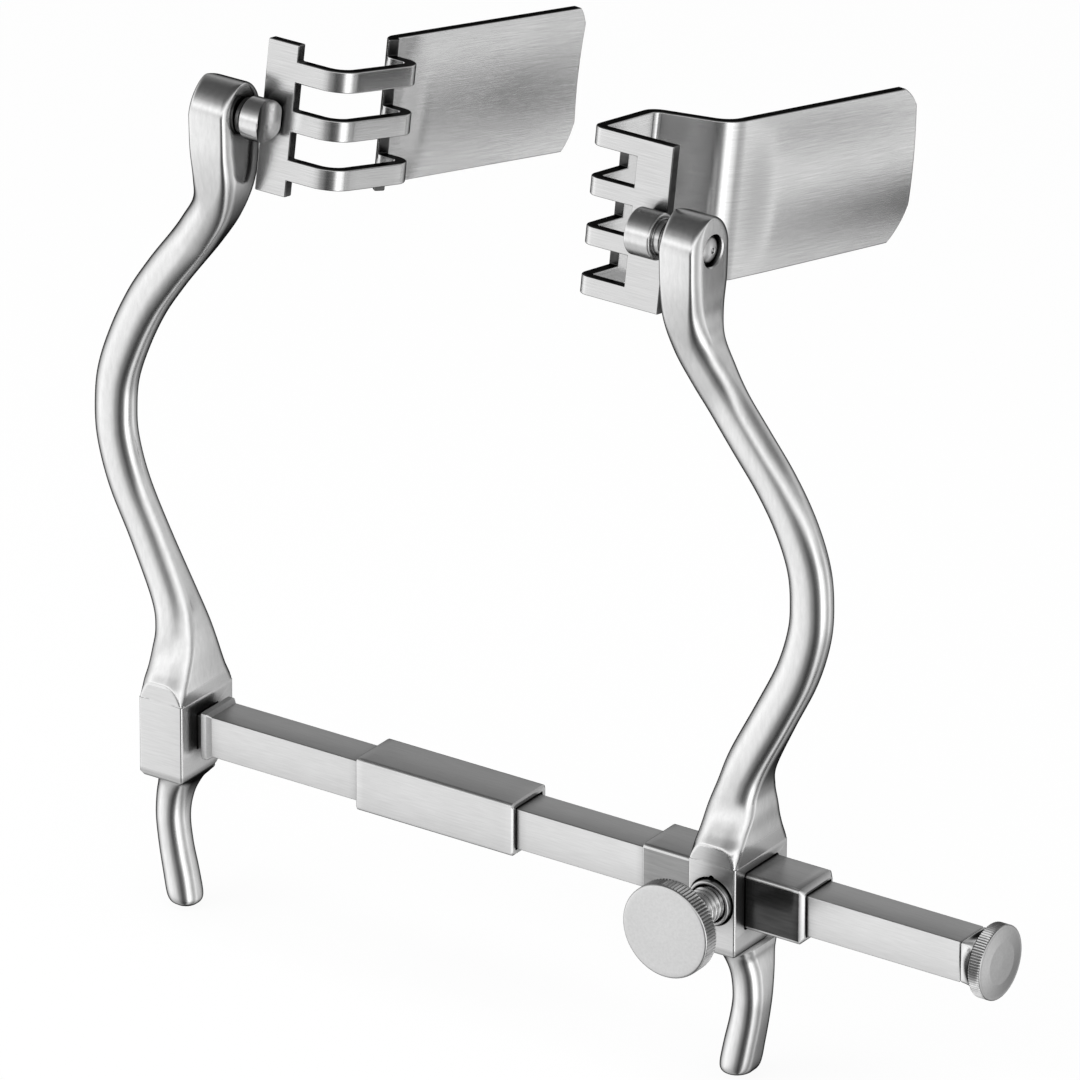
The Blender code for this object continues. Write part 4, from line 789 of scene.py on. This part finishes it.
def finer(line, longest):
    """The same line with no run longer than the given length."""
    pieces = np.maximum(1, np.ceil(np.linalg.norm(np.diff(line, axis=0), axis=1) / longest)).astype(int)
    spot = [np.linspace(k, k + 1, n, endpoint=False) for k, n in enumerate(pieces)]
    spot = np.concatenate(spot + [[len(line) - 1]])
    return np.column_stack([np.interp(spot, np.arange(len(line)), line[:, k]) for k in range(line.shape[1])])


def lengths_along(line):
    """Distance along a line of each of its points."""
    return np.concatenate([[0], np.cumsum(np.linalg.norm(np.diff(line, axis=0), axis=1))])


def where_it_passes(line, column, value, rising):
    """Distance along a line at which x (0) or y (1) first passes a value in the given sense."""
    gap = (line[:, column] - value) * (1 if rising else -1)
    k = int(np.nonzero((gap[:-1] <= 0) & (gap[1:] > 0))[0][0])
    far = lengths_along(line)
    return far[k] + (far[k + 1] - far[k]) * gap[k] / (gap[k] - gap[k + 1])


def swung(points, pivot, tilt):
    """Points from a pivot's own frame: turned about X by -tilt, then moved to the pivot."""
    c, s = math.cos(tilt), math.sin(tilt)
    turn = np.array([[1, 0, 0], [0, c, s], [0, -s, c]])
    return np.asarray(points) @ turn.T + np.array(pivot)


def soft_corner(t):
    """Half a straight chamfer, t, and half a quarter ellipse, 1 - sqrt(1 - t^2)."""
    t = np.clip(t, 0, 1)
    return 0.5 * t + 0.5 * (1 - np.sqrt(1 - t * t))


def pierced_sheet(name, path, half_height, openings, face, bulge, pivot, tilt):
    """Grid point = path(s) + normal(s) * (bulge * (1 - (h / half)^2) +- half the sheet), at height h."""
    face_length, rise, top_corner, bottom_corner = face
    far = lengths_along(path)
    total = far[-1]
    marks = [total - top_corner[0], total - bottom_corner[0], total - face_length, total - face_length - FOLD]
    marks += [mark for opening in openings for mark in opening[:2]]
    marks += [total - share * corner[0] for corner in (top_corner, bottom_corner)
              for share in (0.04, 0.12, 0.24, 0.40, 0.60, 0.80)]
    apart = [mark for mark in marks if np.abs(far - mark).min() > 0.00005]
    stations = np.unique(np.round(np.concatenate([far, apart]), 7))
    borders = {h for opening in openings for h in opening[2:] if abs(h) < half_height}
    levels = finer(np.array(sorted({-half_height, half_height} | borders))[:, None], 0.0016)[:, 0]
    spot = np.column_stack([np.interp(stations, far, path[:, k]) for k in (0, 1)])
    tangent = np.gradient(spot, stations, axis=0)
    tangent /= np.linalg.norm(tangent, axis=1)[:, None]
    normal = np.column_stack([-tangent[:, 1], tangent[:, 0]])
    to_end = total - stations
    top = half_height - top_corner[1] * soft_corner(1 - to_end / top_corner[0])
    lift = np.interp(to_end, [0, face_length, face_length + FOLD], [rise[1], rise[0], 0])
    low = -half_height + lift + bottom_corner[1] * soft_corner(1 - to_end / bottom_corner[0])
    share = (levels + half_height) / (2 * half_height)
    heights = low[:, None] + (top - low)[:, None] * share[None]
    trough = TROUGH * eased((stations - total + face_length) / 0.012)[:, None] * bulge
    trough = trough * (1 - (heights / half_height) ** 2)
    sides = []
    for side in (SHEET / 2, -SHEET / 2):
        plan = spot[:, None] + normal[:, None] * (trough + side)[..., None]
        sides.append(np.concatenate([plan, heights[..., None]], axis=2).reshape(-1, 3))
    rows, columns = heights.shape
    along, across = (stations[:-1] + stations[1:])[:, None] / 2, (levels[:-1] + levels[1:])[None] / 2
    solid = np.ones((rows - 1, columns - 1), bool)
    for start, end, bottom, ceiling in openings:
        solid &= ~((along > start) & (along < end) & (across > bottom) & (across < ceiling))
    edge = np.pad(solid, 1)
    i, j = np.nonzero(solid)
    a, b = i * columns + j, (i + 1) * columns + j
    c, d, other = b + 1, a + 1, rows * columns
    faces = [np.stack([a, d, c, b], 1), np.stack([a, b, c, d], 1) + other]
    for missing, p, q in ((~edge[i + 1, j], a, b), (~edge[i + 1, j + 2], c, d),
                          (~edge[i, j + 1], d, a), (~edge[i + 2, j + 1], b, c)):
        faces.append(np.stack([p, q, q + other, p + other], 1)[missing])
    flats = 2 * len(i)
    faces = np.vstack(faces)
    used, renumbered = np.unique(faces, return_inverse=True)
    points = np.vstack(sides)[used]
    grain = np.column_stack([np.repeat(stations, columns), heights.ravel()])
    grain = np.vstack([grain, grain])[used]
    piece = closed_mesh(name, swung(points, pivot, tilt), renumbered.reshape(faces.shape).tolist(), crease=40)
    sheet_map = piece.data.uv_layers.new(name="UVMap")
    corner = np.zeros(len(piece.data.loops), np.int32)
    piece.data.loops.foreach_get("vertex_index", corner)
    sheet_map.data.foreach_set("uv", grain[corner].astype(np.float32).ravel())
    piece["flats"] = flats
    bevel = piece.modifiers.new("broken edges", "BEVEL")
    bevel.width = 0.00032
    bevel.segments = 3
    bevel.limit_method = "ANGLE"
    bevel.angle_limit = math.radians(50)
    bevel.use_clamp_overlap = False
    bevel.harden_normals = True
    return piece


def fit_blade(blade, body, node):
    """Brushed flats, and painted shade on the cut edges: a near-black finish on the faces that come after the
    flats in the mesh.
    """
    fit(blade, brushed, body, "brushed", node)
    blade.data.materials.append(painted_shade_on_sheared)
    index = (np.arange(len(blade.data.polygons)) >= blade["flats"]).astype(np.int32)
    blade.data.polygons.foreach_set("material_index", index)
    print(node, "edge faces", int(index.sum()))


LEFT_TILT, RIGHT_TILT = math.radians(9.7), math.radians(9.3)
slant = math.tan(math.radians(15.3))
strip_y = PLATE_MIDDLE + 0.0213
left_corners = [(0.0070, PLATE_MIDDLE), (0.0266, PLATE_MIDDLE), (0.0266 + 0.0213 * slant, strip_y),
                (0.0234, strip_y),
                (0.0234 + LEFT_LENGTH * math.tan(math.radians(10.4)), strip_y + LEFT_LENGTH)]
left_path = finer(rounded(left_corners, [0.0057, FOLD, FOLD], 14), 0.0018)
start, stop = 0.0153 - 0.0070, where_it_passes(left_path, 0, 0.0253, False)
half = TINE / 2
left_slots = [(start, stop, PITCH + half, LEFT_HALF), (start, stop, half, PITCH - half),
              (start, stop, half - PITCH, -half), (start, stop, -LEFT_HALF, -PITCH - half)]
left_blade = pierced_sheet("left_tissue_blade", left_path, LEFT_HALF, left_slots,
                           (LEFT_LENGTH - FOLD, (0.0012, 0.0015), (0.0025, 0.0048), (0.0043, 0.0074)),
                           1.0, LEFT_PIVOT, LEFT_TILT)
fit_blade(left_blade, "left_swivel", "left_blade")

back_y = PLATE_MIDDLE + 0.0212
flange = (-0.0139, back_y + 0.0060)
right_corners = [(-0.0104, PLATE_MIDDLE), (-0.0310, PLATE_MIDDLE), (-0.0306, back_y), flange,
                 (flange[0] + RIGHT_LENGTH * math.tan(math.radians(8.7)), flange[1] + RIGHT_LENGTH)]
right_path = finer(rounded(right_corners, [FOLD * 0.65, FOLD * 1.3, 0.0070], 14), 0.0018)
start = where_it_passes(right_path, 0, -0.0310 - SHEET / 2 + 0.0126, False)
stop = where_it_passes(right_path, 1, PLATE_FRONT + 0.0125, True)
right_slots = [(start, stop, k * PITCH - 0.0035, k * PITCH + 0.0035) for k in (-1, 0, 1)]
right_blade = pierced_sheet("right_tissue_blade", right_path, RIGHT_HALF, right_slots,
                            (RIGHT_LENGTH - 0.0020, (0.0017, 0.0030), (0.0036, 0.0044), (0.0054, 0.0094)),
                            -1.0, RIGHT_PIVOT, RIGHT_TILT)
fit_blade(right_blade, "right_swivel", "right_blade")

# %% [markdown]
# Each blade turns on a shaft through the boss of its arm. The shaft ends in a drum that is brazed to
# the back of the blade, so the drum has one flat. The flat is made by limiting Y in the pivot's own
# frame, which keeps the turned grid whole. The left drum's end is ground hollow, which is the same idea
# with a limit on X. On the boss's far side a domed screw holds the shaft.

# %% Pivots
def pivot_drum(name, pivot, axis, boss, drum, tilt, hollow):
    """Shaft, neck and drum in one turned outline, then y <= saddle and |x| <= end - hollow * (1 - u^2).

    u runs from -1 at the drum's front to 1 at its flat, so the end is ground hollow.
    """
    inner = boss / 2
    drum_from, length, radius = drum
    neck = min(inner + 0.0014, drum_from - 0.0001)
    end = drum_from + length
    shaft_from = 0.0032 - inner
    outline = rounded([(shaft_from, AXIS_GAP), (shaft_from, 0.0030), (neck, 0.0030), (neck, 0.0041),
                       (drum_from, 0.0041), (drum_from, radius), (end, radius), (end, AXIS_GAP)],
                      [0.0002, 0.0001, 0.0001, 0.0002, 0.0006, 0.0003], 6)
    outline = finer(outline, 0.00015)
    rings = round_rings(outline, (0, 0, 0), axis)
    on_drum = np.abs(rings[..., 0]) > drum_from - 0.0001
    rings[..., 1] = np.where(on_drum, np.minimum(rings[..., 1], SADDLE_FLAT), rings[..., 1])
    u = np.clip((2 * rings[..., 1] + radius - SADDLE_FLAT) / (radius + SADDLE_FLAT), -1, 1)
    limit = end - hollow * (1 - u * u)
    rings[..., 0] = np.where(on_drum, np.clip(rings[..., 0], -limit, limit), rings[..., 0])
    return skin(name, swung(rings.reshape(-1, 3), pivot, tilt).reshape(rings.shape), crease=35)


def smooth_head(outline):
    """The domed part eased by Catmull-Rom, the rest left straight."""
    return np.vstack([smooth_rows(outline[:7], 5), outline[7:]])


def domed_screw(name, pivot, axis, boss, tilt):
    """Domed head in the boss's recess, with a small centre mark from turning."""
    top = 0.0030 - boss / 2 - 0.0011 - 0.0014 - 0.0004
    outline = [(0.0005, AXIS_GAP), (0.0004, 0.0004), (0.00002, 0.0007), (0.00006, 0.0011),
               (0.00028, 0.0019), (0.0007, 0.0027), (0.0013, 0.00335), (0.0018, 0.00338),
               (0.0018, 0.0013), (0.0063, 0.0012), (0.0063, AXIS_GAP)]
    outline = [(top + along, radius) for along, radius in outline]
    rings = round_rings(smooth_head(outline), (0, 0, 0), axis, segments=96)
    return skin(name, swung(rings.reshape(-1, 3), pivot, tilt).reshape(rings.shape))


for side, pivot, axis, boss, size, tilt, hollow in (
        ("left", LEFT_PIVOT, "x", LEFT_BOSS, (0.0072, 0.0053, 0.0050), LEFT_TILT, 0.0012),
        ("right", RIGHT_PIVOT, "-x", RIGHT_BOSS, (0.0083, 0.0066, 0.0054), RIGHT_TILT, 0.0)):
    drum = pivot_drum(side + "_drum", pivot, axis, boss, size, tilt, hollow)
    fit(drum, polished, side + "_swivel", "polished", side + "_pivot")
    screw = domed_screw(side + "_domed_screw", pivot, axis, boss, tilt)
    fit(screw, satin, side + "_swivel", "satin", side + "_pivot_screw")

# %% [markdown]
# The thumbscrew is the only piece with fine detail all round: a disc with straight knurling, a hub and
# a cut thread. Knurling is a triangle wave taken off the radius. The thread is a wave too, but its
# phase moves on with the angle, so that its crest climbs one pitch in each turn.

# %% Thumbscrew
THUMB_FRONT, THUMB_RADIUS, THUMB_THICK, PITCH_OF_THREAD = -0.0245, 0.0112, 0.0043, 0.0015
thumb_back = THUMB_FRONT + THUMB_THICK
hub_end = thumb_back + 0.0012


def between(low, high, over, inner):
    """1 between two places along the axis, easing to 0 over a short way, and 0 within an inner radius."""
    def share(along, radius):
        return eased((along - low) / over) * eased((high - along) / over) * (radius > inner)
    return share


disc = rounded([(THUMB_FRONT, AXIS_GAP), (THUMB_FRONT, THUMB_RADIUS), (thumb_back, THUMB_RADIUS),
                (thumb_back, 0.0056), (hub_end, 0.0056), (hub_end, 0.0039), (thumb_back - 0.0021, 0.0039),
                (thumb_back - 0.0021, AXIS_GAP)],
               [0.0006, 0.0005, 0.0002, 0.0003, 0.0001, 0.0001], 8)
on_disc = between(THUMB_FRONT + 0.0003, thumb_back - 0.0003, 0.00025, THUMB_RADIUS - 0.0008)
thumb = turned("thumb_disc", finer(disc, 0.0009), (RIGHT_BLOCK_X, 0, 0), "y", segments=1008, teeth=84,
               cut=0.00034, toothed=on_disc)
fit(thumb, turned_face, "thumbscrew", "satin", "thumbscrew_head")


def on_rim(centre, normal):
    """Faces of the knurled rim: far from the axis and not facing along it."""
    away = np.hypot(centre[:, 0] - RIGHT_BLOCK_X, centre[:, 2])
    return (away > THUMB_RADIUS - 0.0005) & (np.abs(normal[:, 1]) < 0.5)


second_finish(thumb, knurled_rim, on_rim)


def cut_thread(name, start, end, crest, root, pitch, centre_x):
    """radius = root + (crest - root) * tooth(along / pitch - angle / turn), fading out at both ends."""
    along = np.linspace(start, end, int((end - start) / pitch * 16))[:, None]
    a = np.linspace(0, 2 * math.pi, 96, endpoint=False)[None]
    phase = (along / pitch - a / (2 * math.pi)) % 1
    tooth = np.clip(1.25 - 2.9 * np.abs(phase - 0.5), 0, 1)
    fade = eased((along - start) / pitch) * eased((end - along) / pitch)
    radius = root + (crest - root) * tooth * fade
    rings = np.stack([centre_x + radius * np.cos(a), along + 0 * a, radius * np.sin(a)], -1)
    axis_point = np.array([centre_x, 0, 0])
    tip = axis_point + (rings[-1:] - axis_point) * np.array([0.85, 1, 0.85])
    tip[..., 1] += 0.0004
    return skin(name, np.concatenate([rings, tip]), crease=60)


shank = cut_thread("threaded_shank", thumb_back - 0.0018, -0.0022, 0.0042, 0.0036, PITCH_OF_THREAD,
                   RIGHT_BLOCK_X)
fit(shank, polished, "thumbscrew", "polished", "thumbscrew_shank")
bush = ring_piece("threaded_bush", rounded([
    (-0.0021, 0.0050), (-0.0021, 0.0054), (block_front - 0.0015, 0.0054), (block_front - 0.0015, 0.0045),
    (-0.0021, 0.0045), (-0.0021, 0.0050)], [0.0001, 0.0010, 0.0003, 0.0001], 8)[:-1],
    (RIGHT_BLOCK_X, 0, 0), "y", segments=144)
fit(bush, satin, "right_slide", "satin", "screw_bush")

# %% [markdown]
# At the right end a collar flares from the square of the bar to a circle, and a knurled knob closes it.
# The collar's outline is a blend of a square and a circle with the same angles, and like the bar it is
# bored for the stud.

# %% Collar and end knob
def flared_collar(name, start, end, radius):
    """outline = square * (1 - t^1.6) + circle * t^1.6, from the bar to the knob."""
    a = np.linspace(0, 2 * math.pi, 192, endpoint=False)
    y, z = np.cos(a), np.sin(a)
    reach = 1 / np.maximum.reduce([np.abs(y) / BAR_HALF[0], np.abs(z) / BAR_HALF[1],
                                   (np.abs(y) + np.abs(z)) / 0.0094])
    t = np.linspace(0, 1, 24)[:, None]
    mix = t ** 1.6
    size = reach * (1 - mix) + radius * mix
    x = start + (end - start) * t
    rings = np.stack([x + 0 * size, BAR_Y + size * y, size * z], -1)
    faces = []
    for end_ring in (rings[:1], rings[-1:]):
        inner = end_ring.copy()
        inner[..., 1] = BAR_Y + (inner[..., 1] - BAR_Y) * 0.6
        inner[..., 2] *= 0.6
        faces.append(inner)
    return skin(name, np.concatenate([faces[0], rings, faces[1]]))


collar = flared_collar("flared_collar", BAR_END + 0.0003, BAR_END + 0.0036, 0.0072)
carve(collar, stud_bore())
fit(collar, polished, "frame", "polished", "end_collar")
knob_from = BAR_END + 0.0039
knob_to = knob_from + 0.0037
knob_line = rounded([(knob_from, AXIS_GAP), (knob_from, 0.0072), (knob_from + 0.0007, 0.0087),
                     (knob_to, 0.0087), (knob_to, 0.0080), (knob_to + 0.0003, 0.0050),
                     (knob_to + 0.0004, AXIS_GAP)],
                    [0.0002, 0.0002, 0.0003, 0.0002, 0.0020], 7)
on_knob = between(knob_from + 0.0006, knob_to - 0.0002, 0.0002, 0.0080)
knob = turned("end_stop_knob", finer(knob_line, 0.0006), (0, BAR_Y, 0), "x", segments=672, teeth=84,
              cut=0.0003, toothed=on_knob)
fit(knob, turned_face, "knob", "satin", "end_knob")
second_finish(knob, knurled_rim, lambda centre, normal: (
    np.hypot(centre[:, 1] - BAR_Y, centre[:, 2]) > 0.0080) & (np.abs(normal[:, 0]) < 0.5))

# %% [markdown]
# The small inner pieces keep their CAD shape: washers, spring, pad, stud and the screw in the block.
# They are mostly hidden, but each gets the finish of its steel.

# %% Inner pieces
for node_name, finish in (("bar_screw", turned_face), ("sleeve_spring", dark), ("pressure_pad", dark),
                          ("end_stud", dark), ("left_friction_washer", dark), ("right_friction_washer", dark),
                          ("left_spring_washer", dark), ("right_spring_washer", dark)):
    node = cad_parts[node_name]
    node.data.materials.clear()
    node.data.materials.append(finish)
print("kept CAD nodes", sum(1 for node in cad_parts.values() if not node.hide_render))
